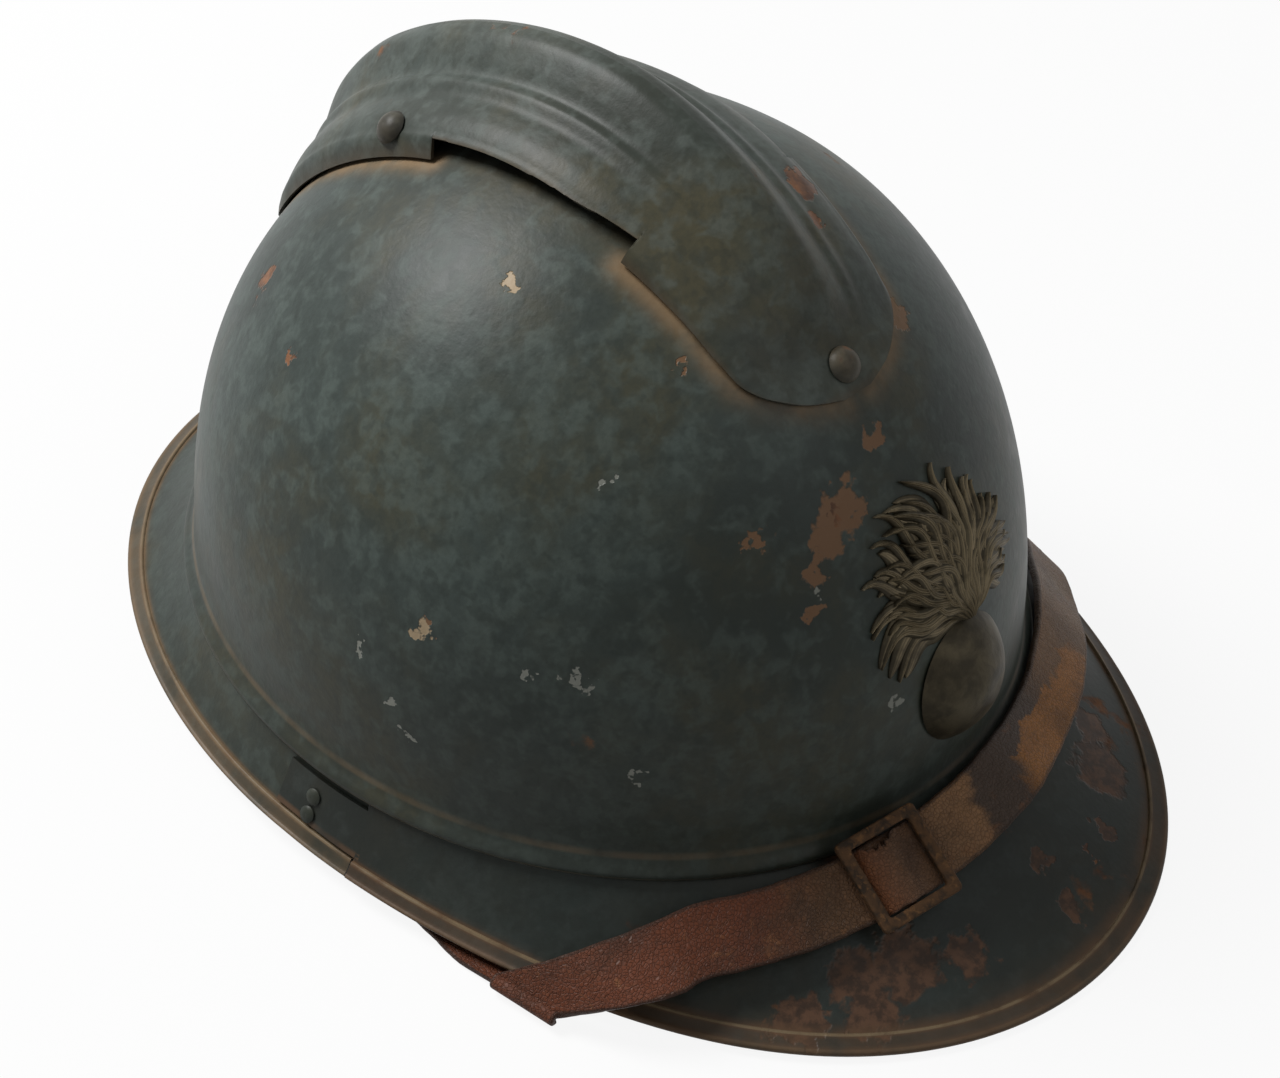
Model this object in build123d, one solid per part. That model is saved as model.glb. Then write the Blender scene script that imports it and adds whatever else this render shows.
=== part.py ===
from build123d import *
import math
import os

os.makedirs("parts", exist_ok=True)

# Driving sizes of the steel skull, in millimetres
skull_half_width = 94.0
skull_front_length = 102.0
skull_rear_length = 108.0
skull_height = 121.0
crown_shift = 2.0
sheet = 0.8

# Driving sizes of the brim pieces and their folded hem
visor_reach = 48.5
side_reach = 10.0
neck_reach = 28.0
brim_drop = 20.0
side_drop = 15.3
hem_width = 4.4
hem_rise = 0.7
lap_clearance = 0.2

# Driving sizes of the crest
crest_height = 16.5
crest_half_width = 27.0
crest_sheet = 0.8
vent_gap = 3.0
vent_front_y = -22.0
vent_rear_y = 36.0

# Driving sizes of the badge
badge_ball_radius = 14.5
badge_ball_relief = 7.5
badge_offset = 7.0
badge_ball_height = 29.0
badge_height = 63.0
badge_plate = 1.6

# Driving sizes of rivets
rivet_head_radius = 4.0
rivet_head_height = 2.4
rivet_shank_radius = 1.5
rivet_tail_radius = 2.6
rivet_tail_height = 0.9
rivet_hole_clearance = 0.15
seam_rivet_head_radius = 2.0
seam_rivet_head_height = 0.5
seam_rivet_shank_radius = 1.0
seam_rivet_tail_radius = 1.5
seam_rivet_tail_height = 0.6

# Driving sizes of the chin strap, its slider buckle and its rings
strap_width = 16.0
strap_thickness = 2.0
strap_radius = 106.0
strap_centre_x = -4.5
strap_top = 6.8
strap_lean = 30.0
strap_tilt = 6.0
tail_thickness = 1.4
fold_gap = 0.3
under_layer_thickness = 1.5
under_layer_width = 15.0
buckle_bar = 2.8
buckle_thickness = 1.5
buckle_length = 22.0
buckle_overhang = 2.4
buckle_angle = -11.0
buckle_post = 1.5
buckle_middle_thickness = 1.0
ring_wire_radius = 1.1
ring_half_width = 10.5
ring_top_half_width = 6.5
ring_drop = 7.6
ring_offset = 3.2
ring_height = -4.9
loop_thickness = 1.6
loop_half_width = 7.0
loop_reach = 11.7
lug_width = 9.0
lug_thickness = 1.0
lug_wall = 1.1
lug_clearance = 0.08

# Driving sizes of the lining
spacer_gap = 2.4
spacer_depth = 4.0
spacer_sheet = 0.5
spacer_height = 18.0
spacer_base = 5.0
felt_thickness = 2.2
felt_height = 30.0
band_thickness = 1.6
band_height = 42.0
band_base = 1.5
tongue_count = 7
tongue_thickness = 1.4
tongue_top = 88.0
lace_radius = 1.2
lace_ring_radius = 21.0
casing_wall = 1.0
lining_clearance = 0.3
clip_width = 8.0
clip_sheet = 0.6

# Shapes of the skull as powers of its level
side_power = 2.5
front_power = 2.1
round_power = 1.9
visor_power = 2.6
neck_power = 2.3
brim_curve_power = 1.25

# Shared clearances and overruns
clearance = 0.3
overrun = 5.0

base_z = brim_drop + hem_rise + sheet


def fan(first, last, count):
    """Evenly spaced values from first to last."""
    return [first + (last - first) * i / (count - 1) for i in range(count)]


# The skull's surface
def side_share(level):
    return max(1 - level ** side_power, 0) ** (1 / round_power)


def front_share(level):
    return max(1 - level ** front_power, 0) ** (1 / round_power)


def ellipse_ring(z, half_width, front, rear, shift=0.0):
    """A level closed wire of two half ellipses that share their width."""
    centre = Vector(0, shift, z)
    back = EllipticalCenterArc(centre, half_width, rear, 0, arc_size=180)
    nose = EllipticalCenterArc(centre, half_width, front, 180, arc_size=180)
    return Wire([*back.edges(), *nose.edges()])


def skull_ring(level, grow):
    """The skull's outline at a share of its height, grown outwards."""
    half_width = skull_half_width * side_share(level) + grow
    front = skull_front_length * front_share(level) + grow
    rear = skull_rear_length * side_share(level) + grow
    z = base_z + (skull_height + grow) * level
    return ellipse_ring(z, half_width, front, rear, crown_shift * level ** 2)


skull_level_angles = fan(0, 80, 11)


def skull_block(grow):
    """The solid under the skull's surface, grown outwards."""
    rings = [skull_ring(math.sin(math.radians(a)), grow) for a in skull_level_angles]
    return Solid.make_loft(rings)


def skull_excess(x, y, z):
    """Below zero inside the skull's outer surface, above zero outside it."""
    level = min(max((z - base_z) / skull_height, 0), 1)
    along = y - crown_shift * level ** 2
    wide = skull_half_width * side_share(level)
    length = skull_front_length * front_share(level) if along < 0 else skull_rear_length * side_share(level)
    return (x / max(wide, sheet)) ** 2 + (along / max(length, sheet)) ** 2 - 1


def crown_point(angle):
    """The skull's middle line, from 0 at the base in front to 180 at the base behind."""
    level = math.sin(math.radians(angle))
    shift = crown_shift * level ** 2
    if angle < 90:
        return Vector(0, shift - skull_front_length * front_share(level), base_z + skull_height * level)
    return Vector(0, shift + skull_rear_length * side_share(level), base_z + skull_height * level)


def crown_normal(angle):
    """The outward direction of the middle line, square to its run."""
    step = 0.5
    ahead = crown_point(angle + step)
    behind = crown_point(angle - step)
    run = (ahead - behind).normalized()
    return Vector(0, -run.Z, run.Y)


def skull_drop(angle, x):
    """How far the skull falls away from the middle line's tangent at a side distance x."""
    origin = crown_point(angle)
    normal = crown_normal(angle)
    low, high = 0.0, skull_half_width
    for _ in range(40):
        depth = (low + high) / 2
        probe = origin - normal * depth
        if skull_excess(x, probe.Y, probe.Z) > 0:
            low = depth
        else:
            high = depth
    return low


def front_surface(x, z):
    """The point and outward normal of the skull's front at a side distance and a height."""
    level = (z - base_z) / skull_height
    wide = skull_half_width * side_share(level)
    y = crown_shift * level ** 2 - skull_front_length * front_share(level) * math.sqrt(1 - (x / wide) ** 2)
    step = sheet / 10
    slope_x = (skull_excess(x + step, y, z) - skull_excess(x - step, y, z)) / (2 * step)
    slope_y = (skull_excess(x, y + step, z) - skull_excess(x, y - step, z)) / (2 * step)
    slope_z = (skull_excess(x, y, z + step) - skull_excess(x, y, z - step)) / (2 * step)
    return Vector(x, y, z), Vector(slope_x, slope_y, slope_z).normalized()


# The crimped bead at the skull's base
bead_out = 3.0
bead_height = 3.4
slot_in = 0.7
slot_out = 1.9
slot_depth = 2.2
bead_levels = [0.0, 0.25, 0.55, 0.85, 1.2, 1.7, 2.65]
bead_shares = [0.82, 0.98, 1.0, 0.78, 0.42, 0.16, -0.14]


def base_ring(height, grow):
    level = height / skull_height
    half_width = skull_half_width * side_share(level) + grow
    front = skull_front_length * front_share(level) + grow
    rear = skull_rear_length * side_share(level) + grow
    return ellipse_ring(base_z + height, half_width, front, rear)


def plain_ring(bottom, height, grow):
    """A solid between two level outlines, used to cut or build rings at the base."""
    return Solid.make_loft([base_ring(0, grow).moved(Location((0, 0, bottom))),
                            base_ring(0, grow).moved(Location((0, 0, bottom + height)))])


def make_skull():
    bead = Solid.make_loft([base_ring(bead_height * h, bead_out * s) for h, s in zip(bead_levels, bead_shares)])
    shell = skull_block(0).fuse(bead)
    shell = shell.cut(skull_block(-sheet))
    groove = plain_ring(-overrun, overrun + slot_depth, slot_out).cut(
        plain_ring(-2 * overrun, 3 * overrun + slot_depth, slot_in))
    shell = shell.cut(groove)
    return shell.cut(crown_vent())


# The vent hole in the crown, under the crest
crown_vent_length = 66.0
crown_vent_width = 34.0
crown_vent_y = 6.0


def crown_vent():
    outline = SlotOverall(crown_vent_length, crown_vent_width, rotation=90)
    hole = extrude(outline, skull_height)
    return hole.moved(Location((0, crown_vent_y, base_z + skull_height / 2)))


# The brim pieces
def brim_station(angle):
    """The base outline's point and outward direction, 0 in front and 90 at the wearer's left."""
    turn = math.radians(angle)
    length = skull_front_length if math.cos(turn) > 0 else skull_rear_length
    point = Vector(skull_half_width * math.sin(turn), -length * math.cos(turn), base_z)
    outward = Vector(math.sin(turn) / skull_half_width, -math.cos(turn) / length, 0).normalized()
    return point, outward


def brim_reach(outward):
    share = abs(outward.Y)
    if outward.Y < 0:
        return side_reach + (visor_reach - side_reach) * share ** visor_power
    return side_reach + (neck_reach - side_reach) * share ** neck_power


def brim_fall(outward):
    """The drop of the brim, less behind, where the neck guard lies a sheet lower."""
    drop = brim_drop if outward.Y < 0 else brim_drop - sheet - lap_clearance
    return side_drop + (drop - side_drop) * abs(outward.Y)


def brim_point(angle, share, depth=0.0):
    """A point of the brim's upper surface, or under it by a depth along its normal."""
    point, outward = brim_station(angle)
    reach = brim_reach(outward) - slot_out
    fall = brim_fall(outward) - clearance
    height = -clearance - fall * (1 - (1 - share) ** brim_curve_power)
    slope = fall * brim_curve_power * max(1 - share, 0.02) ** (brim_curve_power - 1)
    normal = (outward * slope + Vector(0, 0, reach)).normalized()
    return point + outward * (slot_out + reach * share) + Vector(0, 0, height) - normal * depth


brim_shares = [0.06, 0.2, 0.4, 0.6, 0.8, 1.0]
lap_shares = [0.13, 0.25, 0.4, 0.6, 0.8, 1.0]


def wire_of(parts):
    return Wire([edge for part in parts for edge in part.edges()])


def brim_sheet(angle, depth, end_gap, shares):
    """Points along the upper and lower faces of the sheet, from the bead to the hem."""
    _, outward = brim_station(angle)
    limit = 1 - end_gap / math.hypot(brim_reach(outward) - slot_out, brim_fall(outward))
    tops = [brim_point(angle, s * limit, depth) for s in shares]
    unders = [brim_point(angle, s * limit, depth + sheet) for s in shares]
    return tops, unders


def hemmed_section(angle, depth):
    """A slice with the flange held in the bead, the curved sheet and the folded hem."""
    point, outward = brim_station(angle)
    tops, unders = brim_sheet(angle, depth, hem_width, brim_shares)
    rise = Vector(0, 0, 1)
    outer = point + outward * (slot_out - lap_clearance)
    inner = outer - outward * sheet
    flange_top = slot_depth - lap_clearance
    shelf = -clearance - depth
    low = inner + rise * (shelf - sheet)
    bend = outer + rise * shelf
    outer_top = brim_point(angle, 1, depth - hem_rise)
    outer_low = brim_point(angle, 1, depth + sheet + hem_rise)
    inner_top = tops[-1] + (outer_top - brim_point(angle, 1, depth))
    inner_low = unders[-1] + (outer_low - brim_point(angle, 1, depth + sheet))
    bulge = (outer_top + outer_low) * 0.5 + outward * (hem_rise + sheet / 2)
    return wire_of([Line(low, inner + rise * flange_top),
                    Line(inner + rise * flange_top, outer + rise * flange_top),
                    Line(outer + rise * flange_top, bend),
                    Spline([bend, *tops]),
                    Line(tops[-1], inner_top), Line(inner_top, outer_top),
                    ThreePointArc(outer_top, bulge, outer_low),
                    Line(outer_low, inner_low), Line(inner_low, unders[-1]),
                    Spline([*reversed(unders), low])])


def lap_section(angle, end_gap):
    """A slice of the plain lap that lies on the other brim piece."""
    tops, unders = brim_sheet(angle, 0, end_gap, lap_shares)
    return wire_of([Spline(tops), Line(tops[-1], unders[-1]),
                    Spline(list(reversed(unders))), Line(unders[0], tops[0])])


visor_hem_end = 80.0
visor_lap_end = 93.0
lap_inset = 0.8
hem_joint = 0.4


def make_visor():
    body = Solid.make_loft([hemmed_section(a, 0) for a in fan(-visor_hem_end, visor_hem_end, 17)])
    for side in (-1, 1):
        angles = fan(side * (visor_hem_end - 1), side * visor_lap_end, 5)
        body = body.fuse(Solid.make_loft([lap_section(a, hem_width + lap_inset) for a in angles]))
    return body


def make_neck_guard():
    depth = sheet + lap_clearance
    start = visor_hem_end + hem_joint
    return Solid.make_loft([hemmed_section(a, depth) for a in fan(start, 360 - start, 19)])


# Rivets: a domed head, a shank and a spread tail
rivet_seat = 0.4


def rivet(point, normal, grip, head_radius, head_height, shank_radius, tail_radius, tail_height):
    """A rivet whose head sits on a point, with its shank against the normal."""
    crown = ThreePointArc((0, head_height), (head_radius * 0.72, head_height * 0.66), (head_radius, 0))
    outline = Polyline((head_radius, 0), (shank_radius, 0), (shank_radius, -grip), (tail_radius, -grip),
                       (tail_radius, -grip - tail_height), (0, -grip - tail_height), (0, head_height))
    face = Face(Wire([*crown.edges(), *outline.edges()]))
    body = revolve(Plane.XZ.from_local_coords(face), Axis.Z, 360)
    return body.moved(Plane(origin=point + normal * rivet_seat, z_dir=normal).location)


def rivet_hole(point, normal, shank_radius):
    radius = shank_radius + rivet_hole_clearance
    hole = Cylinder(radius, 6 * overrun)
    return hole.moved(Plane(origin=point, z_dir=normal).location)


# The crest: stations along the crown, with shares of its width and of its height
crest_stations = [49.3, 50.3, 52.6, 55.8, 59, 65, 72, 81, 90, 100, 110, 120, 130, 137, 142, 145.5, 149, 151.5, 152.5]
crest_width_shares = [0.15, 0.38, 0.66, 0.86, 0.91, 0.94, 0.97, 1, 1, 1, 1.02, 1.04, 1.03, 1, 0.97, 0.9, 0.66, 0.38, 0.15]
crest_height_shares = [0, 0, 0, 0.05, 0.24, 0.47, 0.66, 0.83, 0.95, 1, 1, 0.99, 0.92, 0.74, 0.45, 0.16, 0, 0, 0]
ridge_shares = [0, 0.13, 0.27, 0.38, 0.47, 0.56, 0.67, 0.8, 0.9, 0.97, 1]
relief_shares = [1, 0.94, 0.73, 0.55, 0.54, 0.43, 0.4, 0.36, 0.28, 0.18, 0]


def between(value, places, shares):
    """A share read from a table by straight lines."""
    for i in range(len(places) - 1):
        if value <= places[i + 1]:
            part = (value - places[i]) / (places[i + 1] - places[i])
            return shares[i] + (shares[i + 1] - shares[i]) * part
    return shares[-1]


def crest_profile(angle):
    """Side and height distances of the crest's outer face, square to the crown."""
    half_width = crest_half_width * between(angle, crest_stations, crest_width_shares)
    height = crest_height * between(angle, crest_stations, crest_height_shares)
    half = []
    for s, r in zip(ridge_shares, relief_shares):
        x = s * half_width
        half.append((x, clearance + crest_sheet - skull_drop(angle, x) + r * height))
    return [(-x, v) for x, v in reversed(half[1:])] + half


def inset_profile(points, depth):
    """The same line moved inwards by a depth, square to itself."""
    moved = []
    for i in range(len(points)):
        a = points[max(i - 1, 0)]
        b = points[min(i + 1, len(points) - 1)]
        run = math.hypot(b[0] - a[0], b[1] - a[1])
        moved.append((points[i][0] + (b[1] - a[1]) / run * depth, points[i][1] - (b[0] - a[0]) / run * depth))
    return moved


def crest_space(angle, point):
    return crown_point(angle) + Vector(point[0], 0, 0) + crown_normal(angle) * point[1]


def crest_section(angle):
    outer = [crest_space(angle, p) for p in crest_profile(angle)]
    inner = [crest_space(angle, p) for p in inset_profile(crest_profile(angle), crest_sheet)]
    return wire_of([Spline(outer), Line(outer[-1], inner[-1]),
                    Spline(list(reversed(inner))), Line(inner[0], outer[0])])


def crest_seat(angle, share):
    """A point on the crest's outer face and the direction square to it."""
    index = ridge_shares.index(share)
    middle = len(ridge_shares) - 1 + index
    here = crest_space(angle, crest_profile(angle)[middle])
    across = crest_space(angle, crest_profile(angle)[middle + 1]) - crest_space(angle, crest_profile(angle)[middle - 1])
    along = crest_space(angle + 1, crest_profile(angle + 1)[middle]) - crest_space(angle - 1, crest_profile(angle - 1)[middle])
    normal = across.cross(along).normalized()
    return here, normal if normal.Z > 0 else normal * -1


def depth_to_skull(point, normal):
    """The distance from a point down to the skull's outer face."""
    low, high = 0.0, crest_height + sheet
    for _ in range(40):
        depth = (low + high) / 2
        probe = point - normal * depth
        if skull_excess(probe.X, probe.Y, probe.Z) > 0:
            low = depth
        else:
            high = depth
    return low


def grip_to_skull(point, normal, tail_radius):
    """The distance from a seat to where a rivet's tail clears the skull's inner face all round."""
    side = normal.cross(Vector(0, 1, 0)).normalized()
    other = normal.cross(side)
    depths = [depth_to_skull(point, normal)]
    for i in range(8):
        turn = math.radians(45 * i)
        rim = point + side * (tail_radius * math.cos(turn)) + other * (tail_radius * math.sin(turn))
        depths.append(depth_to_skull(rim, normal))
    return max(depths) + sheet + 2 * rivet_seat


front_rivet_angle = 52.5
rear_rivet_angle = 148.0
side_rivet_angle = 114.5
side_rivet_share = 0.9


def crest_rivet_seats():
    seats = {"front": crest_seat(front_rivet_angle, 0), "rear": crest_seat(rear_rivet_angle, 0)}
    point, normal = crest_seat(side_rivet_angle, side_rivet_share)
    seats["left"] = (point, normal)
    seats["right"] = (Vector(-point.X, point.Y, point.Z), Vector(-normal.X, normal.Y, normal.Z))
    return seats


def make_crest():
    body = Solid.make_loft([crest_section(a) for a in crest_stations])
    length = vent_rear_y - vent_front_y
    block = skull_block(vent_gap)
    for side in (-1, 1):
        reach = Box(crest_half_width, length, 2 * skull_height)
        centre = (side * crest_half_width, (vent_front_y + vent_rear_y) / 2, base_z + skull_height)
        body = body.cut(*(block & reach.moved(Location(centre))).solids())
    for point, normal in crest_rivet_seats().values():
        body = body.cut(rivet_hole(point, normal, rivet_shank_radius))
    return body


def crest_rivet(name):
    point, normal = crest_rivet_seats()[name]
    return rivet(point, normal, grip_to_skull(point, normal, rivet_tail_radius), rivet_head_radius, rivet_head_height,
                 rivet_shank_radius, rivet_tail_radius, rivet_tail_height)


# The badge: a flaming grenade stamped in thin brass, bare of lettering
flame_root_height = badge_ball_height + badge_ball_radius * 0.92
flame_turns = [-70, -50, -31, -12, 8, 27, 46, 65, 86]
flame_length_shares = [0.76, 0.9, 0.95, 1, 0.98, 0.93, 0.87, 0.79, 0.7]
flame_relief_shares = [0.35, 0.6, 0.85, 0.6, 1, 0.7, 0.95, 0.55, 0.35]
flame_relief = 3.4
flame_half_width = 4.6
flame_bend = 16.0
flame_points = 7


def flame_outline(turn, length):
    """A wavy lock of flame in the front view, from its root to its tip."""
    left, right = [], []
    for i in range(flame_points):
        s = i / flame_points
        heading = math.radians(turn + flame_bend * math.sin(2 * math.pi * s * 0.8))
        reach = length * s
        x = badge_offset + reach * math.sin(heading)
        z = base_z + flame_root_height + reach * math.cos(heading)
        half = flame_half_width * (0.35 + 0.65 * math.sin(math.pi * min(s + 0.12, 1)))
        side = (half * math.cos(heading), -half * math.sin(heading))
        left.append(Vector(x - side[0], 0, z - side[1]))
        right.append(Vector(x + side[0], 0, z + side[1]))
    heading = math.radians(turn + flame_bend * math.sin(2 * math.pi * 0.8))
    tip = Vector(badge_offset + length * math.sin(heading), 0,
                 base_z + flame_root_height + length * math.cos(heading))
    return wire_of([Spline([*left, tip]), Spline([tip, *reversed(right)]), Line(right[0], left[0])])


def make_badge():
    point, normal = front_surface(badge_offset, base_z + badge_ball_height)
    ball_radius = (badge_ball_radius ** 2 + badge_ball_relief ** 2) / (2 * badge_ball_relief)
    centre = point + normal * (badge_ball_relief - ball_radius)
    body = Sphere(ball_radius).moved(Location(centre))
    keep = Box(4 * badge_ball_radius, 2 * skull_front_length, 4 * badge_ball_radius)
    body = body & keep.moved(Location((point.X, point.Y - skull_front_length, point.Z)))
    flame_length = badge_height - flame_root_height + badge_ball_height - badge_ball_radius
    seat = skull_block(clearance)
    locks = []
    for turn, length, relief in zip(flame_turns, flame_length_shares, flame_relief_shares):
        sheet_of_flame = extrude(Face(flame_outline(turn, flame_length * length)), skull_front_length + overrun,
                                 dir=(0, -1, 0))
        locks.append(sheet_of_flame & skull_block(clearance + badge_plate + flame_relief * relief))
    for lock in locks:
        body = body + lock
    return body - seat


# The riveted brim joints, each with a lug for the strap's ring under it
joint_angle = 88.0
joint_shares = [0.33, 0.58]
lug_shares = [0.2, 0.34, 0.5, 0.67]
lug_depth = 2 * sheet + lap_clearance + clearance


def joint_seat(side, share):
    point = brim_point(side * joint_angle, share)
    return point, point - brim_point(side * joint_angle, share, 1)


def cut_joint(body):
    """Both joints' rivet holes through a piece."""
    for side in (-1, 1):
        for share in joint_shares:
            body = body.cut(rivet_hole(*joint_seat(side, share), seam_rivet_shank_radius))
    return body


def joint_rivets(side):
    grip = lug_depth + lug_thickness + 2 * rivet_seat
    return Compound([rivet(*joint_seat(side, share), grip, seam_rivet_head_radius, seam_rivet_head_height,
                           seam_rivet_shank_radius, seam_rivet_tail_radius, seam_rivet_tail_height)
                     for share in joint_shares])


def rod(start, end, radius):
    run = end - start
    body = Cylinder(radius, run.length)
    return body.moved(Plane(origin=(start + end) * 0.5, z_dir=run.normalized()).location)


def ring_axis_x(side):
    return side * (skull_half_width - ring_offset)


def make_lug(side):
    """A curved plate under the brim that ends in a barrel for the ring."""
    _, outward = brim_station(side * joint_angle)
    along = Vector(0, 0, 1).cross(outward).normalized()
    tops = [brim_point(side * joint_angle, s, lug_depth) for s in lug_shares]
    unders = [brim_point(side * joint_angle, s, lug_depth + lug_thickness) for s in lug_shares]
    shift = along * (lug_width / 2)
    outline = wire_of([Spline(tops), Line(tops[-1], unders[-1]), Spline(list(reversed(unders))),
                       Line(unders[0], tops[0])])
    body = Solid.extrude(Face(outline).moved(Location(shift * -1)), along * lug_width)
    hinge = Vector(ring_axis_x(side), tops[0].Y, base_z + ring_height)
    root = (tops[0] + unders[0]) * 0.5
    barrel_radius = ring_wire_radius + lug_clearance + lug_wall
    half = Vector(0, lug_width / 2, 0)
    reach = hinge + (root - hinge).normalized() * (barrel_radius - lug_wall / 2)
    thick = (root - reach).cross(half).normalized() * (lug_thickness / 2)
    arm = Face(Wire(Polyline(root + thick, reach + thick, reach - thick, root - thick, close=True).edges()))
    arm = Solid.extrude(arm.moved(Location(half * -1)), half * 2)
    barrel = rod(hinge - half, hinge + half, barrel_radius)
    bore = rod(hinge - half * 2, hinge + half * 2, ring_wire_radius + lug_clearance)
    return cut_joint(body.fuse(arm).fuse(barrel).cut(bore))


def hinge_point(side):
    return Vector(ring_axis_x(side), brim_point(side * joint_angle, lug_shares[0]).Y, base_z + ring_height)


def make_ring(side):
    """A closed ring of round wire, narrow in the lug and wide at the strap."""
    hinge = hinge_point(side)
    low = hinge - Vector(0, 0, ring_drop)
    corners = [hinge + Vector(0, ring_top_half_width, 0), hinge - Vector(0, ring_top_half_width, 0),
               low - Vector(0, ring_half_width, 0), low + Vector(0, ring_half_width, 0)]
    body = rod(corners[-1], corners[0], ring_wire_radius)
    for start, end in zip(corners, corners[1:]):
        body = body + rod(start, end, ring_wire_radius)
    for corner in corners:
        body = body + Sphere(ring_wire_radius).moved(Location(corner))
    return body


def make_loop(side):
    """The leather loop round the ring's lower bar, rounded about the ring's own axis."""
    hinge = hinge_point(side)
    low = hinge - Vector(0, 0, ring_drop)
    half = Vector(0, loop_half_width, 0)
    bore_radius = ring_wire_radius + clearance
    outer_radius = bore_radius + loop_thickness
    foot = Box(2 * outer_radius, 2 * loop_half_width, ring_drop)
    foot = foot.moved(Location(low - Vector(0, 0, ring_drop / 2)))
    body = rod(low - half, low + half, outer_radius) + foot
    body = body & rod(hinge - half, hinge + half, loop_reach)
    return body - rod(low - half * 2, low + half * 2, bore_radius)


# The chin strap: a leaning cone in front, then free lengths to the fold at each side
cone_first = -34.0
cone_last = 8.0


def strap_space(x, y, z):
    """A place in the strap's own tilted frame, whose axis the buckle slides round."""
    tilt = math.radians(strap_tilt)
    return Vector(strap_centre_x + x * math.cos(tilt) - z * math.sin(tilt), y,
                  base_z + strap_top + x * math.sin(tilt) + z * math.cos(tilt))


def cone_point(turn, across, above):
    """A point of the cone at a turn, across from its upper edge and above its middle face."""
    lean = math.radians(strap_lean)
    radius = strap_radius + across * math.cos(lean) + above * math.sin(lean)
    height = above * math.cos(lean) - across * math.sin(lean)
    return strap_space(radius * math.sin(math.radians(turn)), -radius * math.cos(math.radians(turn)), height)


def cone_quad(turn, width, top, bottom):
    first = (strap_width - width) / 2
    return [cone_point(turn, first, top), cone_point(turn, first + width, top),
            cone_point(turn, first + width, bottom), cone_point(turn, first, bottom)]


def closed(points):
    return Wire(Polyline(*points, close=True).edges())


def polar(turn, radius, height):
    return Vector(strap_centre_x + radius * math.sin(math.radians(turn)),
                  -radius * math.cos(math.radians(turn)), base_z + height)


# Hand-laid stations of the strap's edges: turn, radius and height of the upper, then of the lower edge
right_stations = [(-42, 109.0, -3.5, -37, 122.4, -8.2), (-49.5, 112.4, -8.0, -43, 123.2, -11.4)]
left_stations = [(20, 105.2, 6.2, 18, 118.2, -1.6), (31, 105.0, 5.0, 29, 118.4, -3.8),
                 (42, 105.8, 3.2, 39, 118.6, -6.8), (52, 108.0, -2.4, 47, 118.6, -10.6),
                 (60, 112.0, -8.8, 54, 119.4, -13.0)]
fold_height = -17.7
right_fold = [(-98.3, -61.7), (-96.1, -78.8)]
left_fold = [(102.3, -42.0), (99.5, -58.0)]
right_tail = [(-99.4, -52, -92.0, -68, -20.3), (-99, -44, -87, -56, -20.2), (-98, -26, -84, -34, -19.2),
              (-97, -12, -82.5, -14, -18.4), (-97, 8, -82.5, 8, -17.8)]
left_tail = [(101.4, -33, 93.5, -47, -20.2), (99.5, -24, 86, -33, -19.6), (97, -12, 82.5, -14, -18.4),
             (97, 8, 82.5, 8, -17.8)]


def band_quad(upper, lower, run, thickness):
    """A slice between two edges, thickened square to the band."""
    across = lower - upper
    normal = across.cross(run).normalized()
    if normal.Z < 0:
        normal = normal * -1
    half = normal * (thickness / 2)
    return [upper + half, lower + half, lower - half, upper - half]


fold_steps = 4


def fold_quads(upper, lower):
    """Slices round the fold, from the band on top to the thinner tail under it."""
    turn_radius = fold_gap / 2
    low = Vector(0, 0, strap_thickness / 2 + turn_radius)
    run = Vector(0, 0, 1).cross((lower - upper).normalized())
    run = run if run.X * upper.X > 0 else run * -1
    quads = []
    for i in range(fold_steps + 1):
        turn = math.pi * i / fold_steps
        out = Vector(0, 0, math.cos(turn)) + run * math.sin(turn)
        far = turn_radius + strap_thickness + (tail_thickness - strap_thickness) * i / fold_steps
        quads.append([upper - low + out * far, lower - low + out * far,
                      lower - low + out * turn_radius, upper - low + out * turn_radius])
    return quads


def strap_side(stations, fold, tail, cone_end):
    """Slices of one free length of the strap, its fold and its tail under the brim."""
    edges = [(cone_point(cone_end, 0, 0), cone_point(cone_end, strap_width, 0))]
    edges += [(polar(a, r, z), polar(b, q, h)) for a, r, z, b, q, h in stations]
    edges += [tuple(Vector(x, y, base_z + fold_height) for x, y in fold)]
    quads = []
    for i in range(1, len(edges) - 1):
        run = edges[i + 1][0] + edges[i + 1][1] - edges[i - 1][0] - edges[i - 1][1]
        quads.append(band_quad(*edges[i], run, strap_thickness))
    quads += fold_quads(*edges[-1])
    thin = Vector(0, 0, tail_thickness / 2)
    for a, b, c, d, h in tail:
        upper = Vector(a, b, base_z + h)
        lower = Vector(c, d, base_z + h)
        quads.append([upper - thin, lower - thin, lower + thin, upper + thin])
    return quads


def make_strap():
    half = strap_thickness / 2
    quads = list(reversed(strap_side(right_stations, right_fold, right_tail, cone_first)))
    quads += [cone_quad(t, strap_width, half, -half) for t in fan(cone_first, cone_last, 15)]
    quads += strap_side(left_stations, left_fold, left_tail, cone_last)
    return Solid.make_loft([closed(q) for q in quads], True)


under_layer_turn = 13.0


def make_under_layer():
    """The second layer of leather under the strap, that runs from the buckle's middle bar."""
    top = -strap_thickness / 2 - clearance
    start = buckle_angle - math.degrees((buckle_bar / 2 + clearance) / strap_radius)
    turns = fan(start - under_layer_turn, start, 4)
    return Solid.make_loft([closed(cone_quad(t, under_layer_width, top, top - under_layer_thickness)) for t in turns])


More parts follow.
